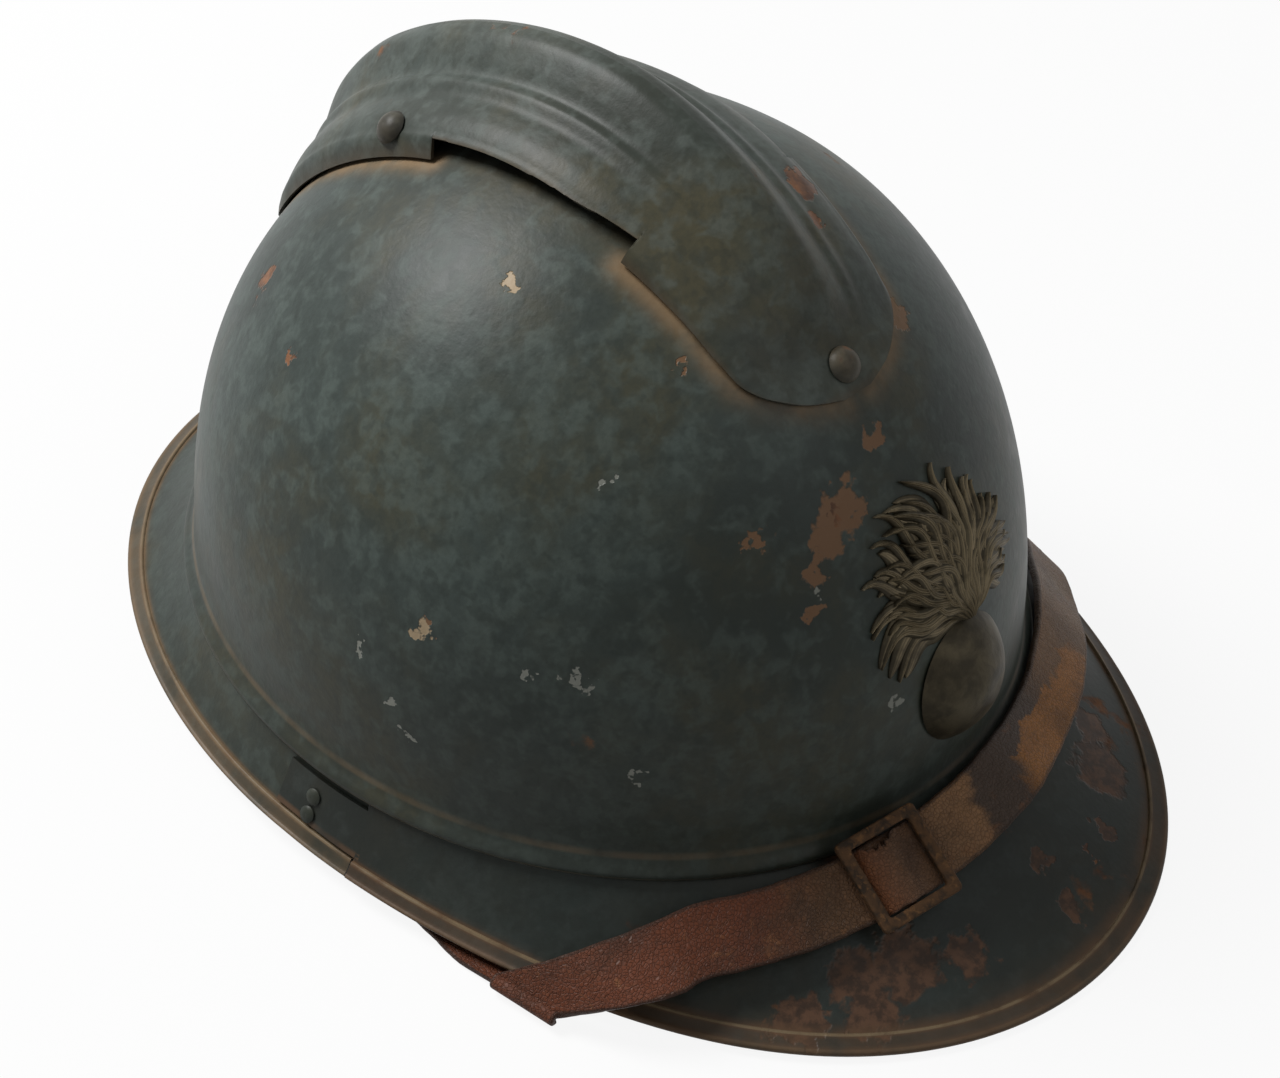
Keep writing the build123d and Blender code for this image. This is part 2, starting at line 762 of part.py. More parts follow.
def make_buckle():
    """A flat slider: two bars and two rails above the strap, one bar under it."""
    centre = cone_point(buckle_angle, strap_width / 2, 0)
    across = (cone_point(buckle_angle, strap_width, 0) - centre).normalized()
    above = (cone_point(buckle_angle, strap_width / 2, 1) - centre).normalized()
    frame = Plane(origin=centre, x_dir=across.cross(above), z_dir=above)
    width = strap_width + 2 * buckle_overhang
    height = strap_thickness / 2 + clearance + buckle_thickness / 2
    depth = strap_thickness / 2 + clearance + buckle_middle_thickness / 2
    inner = strap_width / 2 + clearance
    outer = Box(buckle_length, width, buckle_thickness)
    window = Box(buckle_length - 2 * buckle_bar, 2 * inner, 2 * buckle_thickness)
    body = (outer - window).moved(Location((0, 0, height)))
    middle = Box(buckle_bar, 2 * (inner + buckle_post), buckle_middle_thickness).moved(Location((0, 0, -depth)))
    for side in (-1, 1):
        post = Box(buckle_bar, buckle_post, height + depth)
        middle = middle + post.moved(Location((0, side * (inner + buckle_post / 2), (height - depth) / 2)))
    return (body + middle).moved(frame.location)


# The lining: rings of felt and leather held off the steel by corrugated spacers
felt_offset = spacer_gap + spacer_depth + sheet + lining_clearance
band_offset = felt_offset + felt_thickness + lining_clearance


def wall_ring(bottom, height, offset, thickness):
    """A level ring that follows the skull's base outline inwards."""
    return plain_ring(bottom, height, -offset).cut(plain_ring(bottom - overrun, height + 2 * overrun,
                                                              -offset - thickness))


def outline_point(turn, offset, height):
    """A point of the base outline, moved in by an offset, at a height."""
    point, outward = brim_station(turn)
    return point - outward * offset + Vector(0, 0, height)


spacer_turns = {"front": 0, "left": 90, "rear": 180, "right": -90}
spacer_span = 30.0
spacer_waves = 5
spacer_steps = 8


def make_spacer(name):
    """A strip of corrugated aluminium between the steel and the felt."""
    centre = spacer_turns[name]
    count = spacer_waves * spacer_steps + 1
    mean = sheet + spacer_gap + spacer_depth / 2
    swing = (spacer_depth - spacer_sheet) / 2
    outer, inner = [], []
    for i, turn in enumerate(fan(centre - spacer_span / 2, centre + spacer_span / 2, count)):
        wave = swing * math.cos(2 * math.pi * i / spacer_steps)
        outer.append(outline_point(turn, mean + wave - spacer_sheet / 2, spacer_base))
        inner.append(outline_point(turn, mean + wave + spacer_sheet / 2, spacer_base))
    face = Face(wire_of([Spline(outer), Line(outer[-1], inner[-1]), Spline(list(reversed(inner))),
                         Line(inner[0], outer[0])]))
    return Solid.extrude(face, Vector(0, 0, spacer_height))


clip_turns = [45, 135, 225, 315]
clip_top = 8.0


def make_clips():
    """Bent tin clips that hold the leather band and the felt together at their lower edge."""
    clips = []
    outer = felt_offset - clearance - clip_sheet
    inner = band_offset + band_thickness + clearance + clip_sheet
    low = min(band_base, spacer_base) - clearance - clip_sheet
    for turn in clip_turns:
        point, outward = brim_station(turn)
        along = Vector(0, 0, 1).cross(outward)
        plane = Plane(origin=point - outward * ((outer + inner) / 2), x_dir=outward, z_dir=Vector(0, 0, 1))
        body = Box(inner - outer, clip_width, clip_top - low)
        hollow = Box(inner - outer - 2 * clip_sheet, 2 * clip_width, clip_top - low)
        body = body - hollow.moved(Location((0, 0, clip_sheet)))
        clips.append(body.moved(plane.location).moved(Location((0, 0, (clip_top + low) / 2))))
    return Compound(clips)


tongue_stations = [0.0, 0.2, 0.42, 0.64, 0.84, 1.0]
tongue_width_shares = [1.0, 0.98, 0.9, 0.78, 0.66, 0.6]
tongue_rise_share = 0.25
tongue_lean_share = 0.35
tongue_gap_turn = 4.0


def tongue_point(turn, share, depth):
    """A point of the tongues' dome, from the band at 0 up and in to the lace at 1, in by a depth."""
    offset = band_offset + band_thickness + clearance + tongue_thickness / 2
    root = outline_point(turn, offset, band_base + band_height - overrun)
    spread = math.hypot(root.X, root.Y)
    bend = share * math.pi / 2
    lean = tongue_lean_share * share + (1 - tongue_lean_share) * (1 - math.cos(bend))
    rise = tongue_rise_share * share + (1 - tongue_rise_share) * math.sin(bend)
    radius = spread + (lace_ring_radius - spread) * lean - depth * math.cos(bend)
    height = root.Z + (base_z + tongue_top - root.Z) * rise - depth * math.sin(bend)
    return Vector(root.X / spread * radius, root.Y / spread * radius, height)


def make_tongue(turn):
    """One curved leaf of leather with a round casing at its straight tip."""
    half = 180 / tongue_count - tongue_gap_turn / 2
    tip = tongue_point(turn, 1, 0)
    across = Vector(0, 0, 1).cross(Vector(tip.X, tip.Y, 0).normalized())
    across = across * (lace_ring_radius * math.sin(math.radians(half * tongue_width_shares[-1])))
    thick = Vector(0, 0, tongue_thickness / 2)
    sections = []
    for share, width in zip(tongue_stations, tongue_width_shares):
        turns = fan(turn - half * width, turn + half * width, 5)
        outer = [tongue_point(t, share, -tongue_thickness / 2) for t in turns]
        inner = [tongue_point(t, share, tongue_thickness / 2) for t in turns]
        if share == 1:
            outer = [tip + across * k + thick for k in fan(-1, 1, 5)]
            inner = [tip + across * k - thick for k in fan(-1, 1, 5)]
        sections.append(wire_of([Spline(outer), Line(outer[-1], inner[-1]), Spline(list(reversed(inner))),
                                 Line(inner[0], outer[0])]))
    casing = rod(tip - across, tip + across, lace_radius + clearance + casing_wall)
    return Solid.make_loft(sections).fuse(casing)


def make_lace():
    ring = Torus(lace_ring_radius, lace_radius)
    return ring.moved(Location((0, 0, base_z + tongue_top)))


def make_tongues():
    """The tongues, each cut free of the lace that runs through their ends."""
    channel = Torus(lace_ring_radius, lace_radius + clearance).moved(Location((0, 0, base_z + tongue_top)))
    tongues = [make_tongue(turn).cut(*channel.solids()) for turn in fan(0, 360 - 360 / tongue_count, tongue_count)]
    return Compound([solid for tongue in tongues for solid in tongue.solids()])


parts = {}
parts["badge"] = make_badge()
skull = make_skull()
for point, normal in crest_rivet_seats().values():
    skull = skull.cut(rivet_hole(point, normal, rivet_shank_radius))
parts["dome_shell"] = skull
parts["front_visor"] = cut_joint(make_visor())
parts["neck_guard"] = cut_joint(make_neck_guard())
parts["crest"] = make_crest()
for name in ("front", "rear", "left", "right"):
    parts["crest_" + name + "_rivet"] = crest_rivet(name)
for name, side in (("right", -1), ("left", 1)):
    parts["brim_rivets_" + name] = joint_rivets(side)
    parts["strap_lug_" + name] = make_lug(side)
    parts["strap_ring_" + name] = make_ring(side)
    parts["strap_loop_" + name] = make_loop(side)
parts["chin_strap"] = make_strap()
parts["strap_under_layer"] = make_under_layer()
parts["slider_buckle"] = make_buckle()
parts["liner_band"] = wall_ring(band_base, band_height, band_offset, band_thickness)
parts["felt_band"] = wall_ring(spacer_base, felt_height, felt_offset, felt_thickness)
for name in spacer_turns:
    parts["spacer_" + name] = make_spacer(name)
parts["liner_clips"] = make_clips()
parts["liner_tongues"] = make_tongues()
parts["crown_lace"] = make_lace()

# The helmet is saved with its middle between the ends of the two brims
front_end = parts["front_visor"].bounding_box().min.Y
rear_end = parts["neck_guard"].bounding_box().max.Y
middle = Location((0, -(front_end + rear_end) / 2, 0))
for name, shape in parts.items():
    export_step(shape.moved(middle), os.path.join("parts", name + ".step"))
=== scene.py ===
import math

import bpy
import numpy as np
from mathutils import Matrix, Vector


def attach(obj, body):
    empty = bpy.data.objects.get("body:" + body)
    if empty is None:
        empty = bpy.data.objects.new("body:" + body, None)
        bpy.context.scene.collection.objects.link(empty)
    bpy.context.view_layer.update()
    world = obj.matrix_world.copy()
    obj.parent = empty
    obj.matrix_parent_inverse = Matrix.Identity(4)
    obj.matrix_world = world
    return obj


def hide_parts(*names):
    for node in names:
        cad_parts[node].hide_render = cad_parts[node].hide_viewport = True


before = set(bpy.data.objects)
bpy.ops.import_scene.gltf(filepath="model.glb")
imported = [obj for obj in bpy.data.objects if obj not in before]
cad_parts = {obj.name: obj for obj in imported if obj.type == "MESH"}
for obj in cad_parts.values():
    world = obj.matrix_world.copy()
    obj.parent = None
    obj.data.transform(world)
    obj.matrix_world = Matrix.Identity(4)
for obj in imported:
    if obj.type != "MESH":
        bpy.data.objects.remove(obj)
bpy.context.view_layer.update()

# The room: the helmet stands on a pale floor under one broad lamp behind its right side, with soft daylight
# all round and white where it is seen. The camera looks down on its front right quarter.


def placed(name, data):
    """A new object in the scene."""
    made = bpy.data.objects.new(name, data)
    bpy.context.collection.objects.link(made)
    return made


def wired(kind, inputs, output=0, tree=None, **settings):
    """Adds a node to a tree, or else to the tree of the sockets among its inputs, with its settings, sets or
    links its inputs, and gives one of its outputs."""
    tree = tree or next(value.id_data for value in inputs.values() if isinstance(value, bpy.types.NodeSocket))
    made = tree.nodes.new(kind)
    for key, value in settings.items():
        setattr(made, key, value)
    for key, value in inputs.items():
        if isinstance(value, bpy.types.NodeSocket):
            tree.links.new(value, made.inputs[key])
        else:
            made.inputs[key].default_value = value
    return made.outputs[output]


def figured(operation, first, second):
    """Two values put through one operation."""
    return wired("ShaderNodeMath", {0: first, 1: second}, operation=operation)


def seen_white(lit, kind, share):
    """A lit surface that is white by a share for the rays that see it as it is: from the camera, off a gloss,
    or through glass."""
    tree = lit.id_data
    path = tree.nodes.new("ShaderNodeLightPath")
    rays = path.outputs["Is Camera Ray"]
    for name in ("Is Glossy Ray", "Is Transmission Ray"):
        rays = figured("MAXIMUM", rays, path.outputs[name])
    glow = wired(kind, {"Color": (1, 1, 1, 1)}, 0, tree)
    return wired("ShaderNodeMixShader", {0: figured("MULTIPLY", rays, share), 1: lit, 2: glow})


world = bpy.data.worlds.new("daylight")
bpy.context.scene.world = world
world.use_nodes = True
sky = world.node_tree
soft_light = sky.nodes["Background"]
soft_light.inputs["Color"].default_value = (1.0, 0.985, 0.95, 1)
soft_light.inputs["Strength"].default_value = 0.19
sky.links.new(seen_white(soft_light.outputs[0], "ShaderNodeBackground", 1.0),
              sky.nodes["World Output"].inputs["Surface"])

floor_mesh = bpy.data.meshes.new("floor")
floor_mesh.from_pydata([(-3, -3, 0), (3, -3, 0), (3, 3, 0), (-3, 3, 0)], [], [(0, 1, 2, 3)])
floor = placed("floor", floor_mesh)
floor_paint = bpy.data.materials.new("pale_floor")
floor_paint.use_nodes = True
floor_tree = floor_paint.node_tree
floor_shader = floor_tree.nodes["Principled BSDF"]
floor_shader.inputs["Base Color"].default_value = (0.5, 0.5, 0.5, 1)
floor_shader.inputs["Roughness"].default_value = 0.9
floor_tree.links.new(seen_white(floor_shader.outputs[0], "ShaderNodeEmission", 0.9),
                     floor_tree.nodes["Material Output"].inputs["Surface"])
floor_mesh.materials.append(floor_paint)

for lamp_name, lamp_place, lamp_width, lamp_power in (
        ("rear_lamp", (-0.38, 0.95, 1.2), 0.75, 42.0), ("front_lamp", (0.3, -1.2, 1.1), 1.2, 4.0)):
    lamp_data = bpy.data.lights.new(lamp_name, "AREA")
    lamp_data.shape = "DISK"
    lamp_data.size = lamp_width
    lamp_data.energy = lamp_power
    lamp = placed(lamp_name, lamp_data)
    lamp.location = lamp_place
    lamp.rotation_euler = (Vector((0, 0, 0.08)) - Vector(lamp_place)).to_track_quat("-Z", "Y").to_euler()

camera_turn, camera_rise, camera_roll = -0.844, 0.723, 0.065
view_back = Vector((math.sin(camera_turn) * math.cos(camera_rise), -math.cos(camera_turn) * math.cos(camera_rise),
                    math.sin(camera_rise)))
view_right = (-view_back).cross(Vector((0, 0, 1))).normalized()
view_up = view_right.cross(-view_back)
camera_x = math.cos(camera_roll) * view_right + math.sin(camera_roll) * view_up
camera_y = -math.sin(camera_roll) * view_right + math.cos(camera_roll) * view_up
camera_data = bpy.data.cameras.new("camera")
camera_data.sensor_width = 36
camera_data.lens = 74.305
camera_data.shift_x = 0.01225
camera_data.shift_y = 0.00985
camera_data.clip_end = 20
camera = placed("camera", camera_data)
camera.matrix_world = Matrix.Translation((-0.35616, -0.31306, 0.44972)) @ Matrix(
    (camera_x, camera_y, view_back)).transposed().to_4x4()
bpy.context.scene.camera = camera
bpy.context.scene.view_settings.view_transform = "Standard"


# The skull: one deep pressing of thin steel with a bead crimped round its base over the brims' flange,
# and a long vent hole in the crown. It is painted slate blue over olive, mottled, chipped and rusted.
skull_half_width, skull_front, skull_rear, skull_height, crown_shift, sheet = 94.0, 102.0, 108.0, 121.0, 2.0, 0.8
base_z, centre_shift = 21.5, 7.445
slot_out, slot_rise = 1.9, 2.2


def side_share(level):
    """The skull's width at a level as a share of its width at the base: (1 - level^2.5)^(1/1.9)."""
    return np.maximum(1 - np.clip(level, 0, 1) ** 2.5, 0) ** (1 / 1.9)


def front_share(level):
    """The same for its length in front of the crown: (1 - level^2.1)^(1/1.9)."""
    return np.maximum(1 - np.clip(level, 0, 1) ** 2.1, 0) ** (1 / 1.9)


def skull_point(turn, level, grow):
    """The outline at a level is two half ellipses that share their width, grown outwards by a distance,
    and a turn of 0 is in front and of 90 degrees at the wearer's left."""
    turn = np.radians(turn)
    front = np.cos(turn) > 0
    length = np.where(front, skull_front * front_share(level), skull_rear * side_share(level)) + grow
    x = (skull_half_width * side_share(level) + grow) * np.sin(turn)
    y = crown_shift * level ** 2 - length * np.cos(turn)
    return np.stack([x, y, base_z + (skull_height + grow) * level + 0 * turn], axis=-1)


def skull_excess(x, y, z, grow=0.0):
    """Below zero inside the skull, above zero outside it: its outline's ellipse at the point's own level."""
    level = np.clip((z - base_z) / (skull_height + grow), 0, 1)
    along = y - crown_shift * level ** 2
    wide = skull_half_width * side_share(level) + grow
    length = np.where(along < 0, skull_front * front_share(level), skull_rear * side_share(level)) + grow
    return (x / np.maximum(wide, 0.1)) ** 2 + (along / np.maximum(length, 0.1)) ** 2 - 1


def bisected(excess, high, rounds=32):
    """The distance from 0 to high at which a value passes from above zero to below it, by halving."""
    low = np.zeros_like(high)
    for _ in range(rounds):
        middle = (low + high) / 2
        outside = excess(middle) > 0
        low = np.where(outside, middle, low)
        high = np.where(outside, high, middle)
    return low


def through(at, places, values):
    """A smooth curve through a table: cubic pieces whose slopes at each place are the slope of the line
    between its neighbours."""
    places, values = np.asarray(places, float), np.asarray(values, float)
    run = values.reshape(len(places), -1)
    slopes = np.gradient(run, places, axis=0)
    part = np.clip(np.searchsorted(places, at, side="right") - 1, 0, len(places) - 2)
    span = places[part + 1] - places[part]
    s = ((at - places[part]) / span)[:, None]
    span = span[:, None]
    curve = ((2 * s ** 3 - 3 * s ** 2 + 1) * run[part] + (s ** 3 - 2 * s ** 2 + s) * span * slopes[part]
             + (3 * s ** 2 - 2 * s ** 3) * run[part + 1] + (s ** 3 - s ** 2) * span * slopes[part + 1])
    return curve.reshape((len(at),) + values.shape[1:])


def lay(name, grids, wrap_rows=False, wrap_columns=False, capped=False, crease=38, **marks):
    """A mesh of four-sided faces through grids of points, in millimetres from the skull's centre. A wrapped
    side joins its last row or column to its first, and capped ends are closed by one face each. Marks are
    grids of numbers kept as attributes of the points."""
    corners, faces, start = [], [], 0
    for points in grids:
        rows, columns = points.shape[:2]
        index = np.arange(rows * columns).reshape(rows, columns) + start
        ends = [index[0][::-1].tolist(), index[-1].tolist()] if capped else []
        if wrap_rows:
            index = np.concatenate([index, index[:1]])
        if wrap_columns:
            index = np.concatenate([index, index[:, :1]], axis=1)
        quads = np.stack([index[:-1, :-1], index[:-1, 1:], index[1:, 1:], index[1:, :-1]], axis=-1)
        faces += quads.reshape(-1, 4).tolist() + ends
        corners.append(points.reshape(-1, 3))
        start += rows * columns
    place = (np.concatenate(corners) + (0, centre_shift, 0)) * 0.001
    mesh = bpy.data.meshes.new(name)
    mesh.from_pydata(place.tolist(), [], faces)
    for mark, numbers in marks.items():
        layer = mesh.attributes.new(mark, "FLOAT", "POINT")
        layer.data.foreach_set("value", np.concatenate([np.ravel(n) for n in numbers]).astype(np.float32))
    mesh.shade_smooth()
    mesh.set_sharp_from_angle(angle=math.radians(crease))
    return placed(name, mesh)


vent_length, vent_width, vent_y = 66.0, 34.0, 6.0
turns = np.arange(0, 360, 1.25)


def skull_ring(level, grow):
    """The skull's outline at one level, as a row of points."""
    return skull_point(turns, np.full_like(turns, level), grow)


def vent_outline(x, y):
    """The vent's slot with round ends, met by the line from its centre towards a point."""
    angle = np.arctan2(y, x)
    straight = vent_length / 2 - vent_width / 2
    side = vent_width / 2 / np.maximum(np.abs(np.cos(angle)), 1e-6)
    rise = np.abs(np.sin(angle))
    rounded = straight * rise + np.sqrt(np.maximum((vent_width / 2) ** 2 - (straight * np.cos(angle)) ** 2, 0))
    reach = np.where(side * rise <= straight, side, rounded)
    return reach * np.cos(angle), reach * np.sin(angle)


def crown_rows(shares, grow):
    """Rows between the skull's last level ring and the vent's outline: the place in plan slides from one to
    the other, and the height is where the skull's surface lies."""
    ring = skull_ring(last_level, grow)
    slot_x, slot_y = vent_outline(ring[:, 0], ring[:, 1] - vent_y)
    x = ring[None, :, 0] + (slot_x - ring[:, 0]) * shares[:, None]
    y = ring[None, :, 1] + (slot_y + vent_y - ring[:, 1]) * shares[:, None]
    top = base_z + skull_height + grow
    z = top - bisected(lambda drop: skull_excess(x, y, top - drop, grow), np.full_like(x, 60.0))
    return np.stack([x, y, z], axis=-1)


last_angle = 62
last_level = math.sin(math.radians(last_angle))
bead_steps = np.linspace(0, 6, 19)
bead_levels = through(bead_steps, np.arange(7), [0.0, 0.25, 0.55, 0.85, 1.2, 1.7, 2.65]) * 3.4
bead_grows = np.maximum(through(bead_steps, np.arange(7), [0.82, 0.98, 1.0, 0.78, 0.42, 0.16, 0.0]), 0) * 3.0
foot_rows = [skull_ring(0.0, grow) + (0, 0, rise)
             for grow, rise in ((-sheet, 0.0), (0.7, 0.0), (0.7, slot_rise), (slot_out, slot_rise), (slot_out, 0.0))]
bead_rows = [skull_ring(h / skull_height, 0.0) + (skull_ring(0.0, g) - skull_ring(0.0, 0.0))
             for g, h in zip(bead_grows, bead_levels)]
bead_angle = math.degrees(math.asin(bead_levels[-1] / skull_height))
wall_rows = [skull_ring(level, 0.0) for level in np.sin(np.radians(np.linspace(bead_angle + 0.9, last_angle, 56)))]
inner_rows = [skull_ring(level, -sheet) for level in np.sin(np.radians(np.linspace(last_angle, 1, 40)))]
skull_rows = np.concatenate([foot_rows, bead_rows, wall_rows, crown_rows(np.linspace(0.08, 1, 14), 0.0),
                             crown_rows(np.linspace(1, 0.08, 12), -sheet), inner_rows])
# The paint is rubbed along two rows of the bead: its foot and its upper edge.
bead_end = len(foot_rows) + len(bead_rows)
skull_worn = np.zeros(skull_rows.shape[:2])
skull_worn[7:9] = 0.25
skull_worn[bead_end - 5:bead_end - 3] = 0.3
skull = lay("skull", [skull_rows[::-1]], wrap_rows=True, wrap_columns=True, worn=[skull_worn[::-1] * 0.7])


def shading(name, metallic, roughness, specular=0.5):
    """A new material with its shader, and the place of each point of the piece that wears it, in metres."""
    material = bpy.data.materials.new(name)
    material.use_nodes = True
    shader = material.node_tree.nodes["Principled BSDF"]
    for key, value in (("Metallic", metallic), ("Roughness", roughness), ("Specular IOR Level", specular)):
        shader.inputs[key].default_value = value
    return material, shader, wired("ShaderNodeTexCoord", {}, 3, material.node_tree)


def marked(shader, name):
    """The number that a piece's mesh keeps for each point under a name."""
    return wired("ShaderNodeAttribute", {}, 2, shader.id_data, attribute_name=name)


def scaled(value, factor, offset):
    """A value times a factor, plus an offset."""
    return figured("ADD", figured("MULTIPLY", value, factor), offset)


def moved(operation, first, second, output=0):
    """Two places put through one operation."""
    return wired("ShaderNodeVectorMath", {0: first, 1: second}, output, operation=operation)


def mottle(place, size, detail=3.0, shift=(0, 0, 0), twist=0.0):
    """Cloudy noise whose patches are about a size in millimetres across."""
    return wired("ShaderNodeTexNoise", {
        "Vector": wired("ShaderNodeMapping", {"Vector": place, "Location": shift}),
        "Scale": 1000 / size, "Detail": detail, "Roughness": 0.6, "Distortion": twist})


def stepped(value, low, high, first=0.0, last=1.0):
    """A value that turns smoothly from first to last between two levels."""
    return wired("ShaderNodeMapRange", {0: value, 1: low, 2: high, 3: first, 4: last},
                 interpolation_type="SMOOTHSTEP")


def tinted(share, first, second):
    """Two colours mixed by a share."""
    return wired("ShaderNodeMix", {0: share, 6: first, 7: second}, 2, data_type="RGBA")


def coated(shader, colour, rough=None, bump=None):
    """Links a colour, a roughness and a bump (its strength, its depth in metres and its height) to a shader."""
    if bump:
        strength, depth, height = bump
        bump = wired("ShaderNodeBump", {"Strength": strength, "Distance": depth, "Height": height})
    for key, value in (("Base Color", colour), ("Roughness", rough), ("Normal", bump)):
        if value is not None:
            shader.id_data.links.new(value, shader.inputs[key])


def shown(material, piece):
    """Gives a piece one material."""
    piece.data.materials.clear()
    piece.data.materials.append(material)


slate, slate_light, slate_dark = (0.034, 0.044, 0.04, 1), (0.06, 0.076, 0.068, 1), (0.018, 0.023, 0.02, 1)
olive, bare_primer = (0.04, 0.038, 0.023, 1), (0.25, 0.19, 0.12, 1)
rust, rust_dark = (0.14, 0.062, 0.028, 1), (0.045, 0.022, 0.013, 1)


def weathered_paint_with_low_shade(name, cool, light, dark, warm, rust_level=0.7, chips=(), worn_colour=(0.2, 0.13, 0.07, 1)):
    """Old dull paint on steel: cloudy tones, smaller mottling and a fine grain, olive tinges, painted shade low
    down, specks of rust, chips at given places, and worn lines where the piece's worn attribute is high."""
    material, shader, place = shading(name, 0.0, 0.45, 0.12)
    cloud = mottle(place, 70, 4.0, (0.3, 0.1, 0.2), 0.2)
    cells = mottle(place, 5.5, 2.5, (0.1, 0.4, 0.2), 0.25)
    fine = mottle(place, 1.6, 2.0)
    level = wired("ShaderNodeSeparateXYZ", {0: place}, 2)
    colour = tinted(stepped(cloud, 0.34, 0.66), dark, cool)
    for share, tone in (
            (stepped(mottle(place, 48, 4.0, (0.7, 0.2, 0.5), 0.3), 0.42, 0.66, 0.0, 0.8), warm),
            (stepped(scaled(cells, 0.75, figured("MULTIPLY", cloud, 0.25)), 0.45, 0.62, 0.0, 0.5), light),
            (stepped(mottle(place, 4.2, 2.0, (0.6, 0.3, 0.8), 0.2), 0.5, 0.64, 0.0, 0.4), dark),
            (stepped(fine, 0.35, 0.72, 0.0, 0.3), dark),
            # Painted shade: from 85 mm above the floor down to 30 mm the paint darkens, for the low parts lie in
            # shade.
            (stepped(level, 0.085, 0.03, 0.0, 0.4), (0.013, 0.014, 0.01, 1))):
        colour = tinted(share, colour, tone)
    rust_colour = tinted(stepped(mottle(place, 5, 3.0, (0.4, 0.4, 0.9)), 0.35, 0.65), rust_dark, rust)
    stain_colour = tinted(stepped(mottle(place, 3.5, 4.0, (0.1, 0.9, 0.4)), 0.4, 0.62),
                          (0.03, 0.018, 0.012, 1), (0.075, 0.04, 0.024, 1))
    patches = scaled(mottle(place, 20, 8.0, (0.9, 0.3, 0.1)), 0.72,
                     figured("MULTIPLY", mottle(place, 110, 2.0, (0.2, 0.8, 0.4)), 0.28))
    spots = stepped(patches, rust_level * 0.9, rust_level * 0.9 + 0.06)
    colour = tinted(spots, colour, rust_colour)
    ragged = wired("ShaderNodeTexNoise", {"Vector": place, "Scale": 210.0, "Detail": 3.0, "Roughness": 0.6}, 1)
    near = moved("ADD", place, moved("MULTIPLY", moved("SUBTRACT", ragged, (0.5, 0.5, 0.5)), (0.013, 0.013, 0.013)))
    tones = {"rust": rust_colour, "stain": stain_colour, "tan": bare_primer, "pale": (0.16, 0.165, 0.145, 1),
             "brown": (0.125, 0.07, 0.038, 1)}
    bared = None
    for x, y, z, radius, kind in chips:
        centre = (x * 0.001, (y + centre_shift) * 0.001, (z + base_z) * 0.001)
        share = stepped(moved("DISTANCE", near, centre, 1), radius * 0.0011, radius * 0.0008)
        colour = tinted(share, colour, tones[kind])
        bared = share if bared is None else figured("MAXIMUM", bared, share)
    worn = marked(shader, "worn")
    rubbed = figured("MULTIPLY", worn, stepped(mottle(place, 14, 6.0, (0.5, 0.9, 0.1)), 0.28, 0.6, 0.25, 1.0))
    line = figured("MULTIPLY", stepped(worn, 0.8, 0.97), stepped(mottle(place, 9, 5.0, (0.2, 0.5, 0.6)), 0.3, 0.55))
    colour = tinted(line, tinted(rubbed, colour, worn_colour), (0.115, 0.084, 0.05, 1))
    height = scaled(spots, -0.35, scaled(fine, 0.35, figured("MULTIPLY", cells, 0.5)))
    if chips:
        height = scaled(bared, -0.9, height)
    coated(shader, colour, scaled(spots, 0.3, scaled(cells, 0.2, 0.33)), (0.55, 0.0003, height))
    return material


skull_chips = [
    (-14.5, -76.4, 77.4, 4.4, "brown"), (-17.8, -77.0, 75.2, 5.0, "brown"), (-21.6, -78.3, 72.0, 3.8, "brown"),
    (-25.6, -79.8, 67.6, 3.0, "brown"), (-27.1, -81.6, 64.0, 1.6, "pale"), (-16.5, -76.8, 76.0, 2.2, "rust"),
    (-13.4, -77.4, 75.8, 3.2, "brown"), (-30.0, -82.7, 60.0, 2.0, "brown"), (-43.6, -4.9, 108.6, 2.2, "tan"),
    (22.6, -56.4, 95.7, 4.0, "brown"), (-30.9, -44.5, 101.1, 1.8, "brown"), (-34, -70.6, 75.8, 2.4, "brown"),
    (-37, -70.2, 74.8, 2.0, "brown"), (-53.9, -45.3, 85.7, 1.6, "pale"), (-85.3, -23.7, 50.5, 2.4, "tan"),
    (-84.6, -25.5, 51.5, 1.8, "brown"), (-72.2, -54.3, 48.3, 1.3, "pale"), (-70.7, -56.3, 48.7, 1.3, "pale"),
    (-69.3, -58.0, 48.9, 1.3, "pale"), (-76.3, -47.9, 48.2, 1.5, "pale"), (-90.1, -11.4, 40.2, 1.6, "pale"),
    (-90.4, -19.8, 31, 1.5, "pale"), (-90, -26.2, 23, 1.8, "pale"), (-14.7, -96.8, 33.8, 2.0, "pale"),
    (-54.3, 60.4, 79.4, 4.0, "rust"), (-68.4, 35.2, 79.9, 2.2, "rust"), (-0.5, -71.9, 84.7, 3.0, "brown"),
    (-66, -69.7, 27.8, 1.3, "pale")]
skull_paint = weathered_paint_with_low_shade("skull_paint", slate, slate_light, slate_dark, olive, 0.72, skull_chips)
shown(skull_paint, skull)
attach(skull, "helmet")
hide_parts("dome_shell")


# The brims: a visor in front and a neck guard behind, each pressed from sheet, with an upright flange held
# in the skull's bead and a hem folded flat round the outer edge. The visor's plain ends lap over the guard.
lap_clearance, clearance, hem_width, hem_rise = 0.2, 0.3, 4.4, 0.7


def brim_base(turn):
    """The skull's base outline and the level direction square to it at a turn."""
    turn = np.radians(turn)
    length = np.where(np.cos(turn) > 0, skull_front, skull_rear)
    point = np.stack([skull_half_width * np.sin(turn), -length * np.cos(turn), np.full_like(turn, base_z)], axis=-1)
    outward = np.stack([np.sin(turn) / skull_half_width, -np.cos(turn) / length, np.zeros_like(turn)], axis=-1)
    return point, outward / np.linalg.norm(outward, axis=-1, keepdims=True)


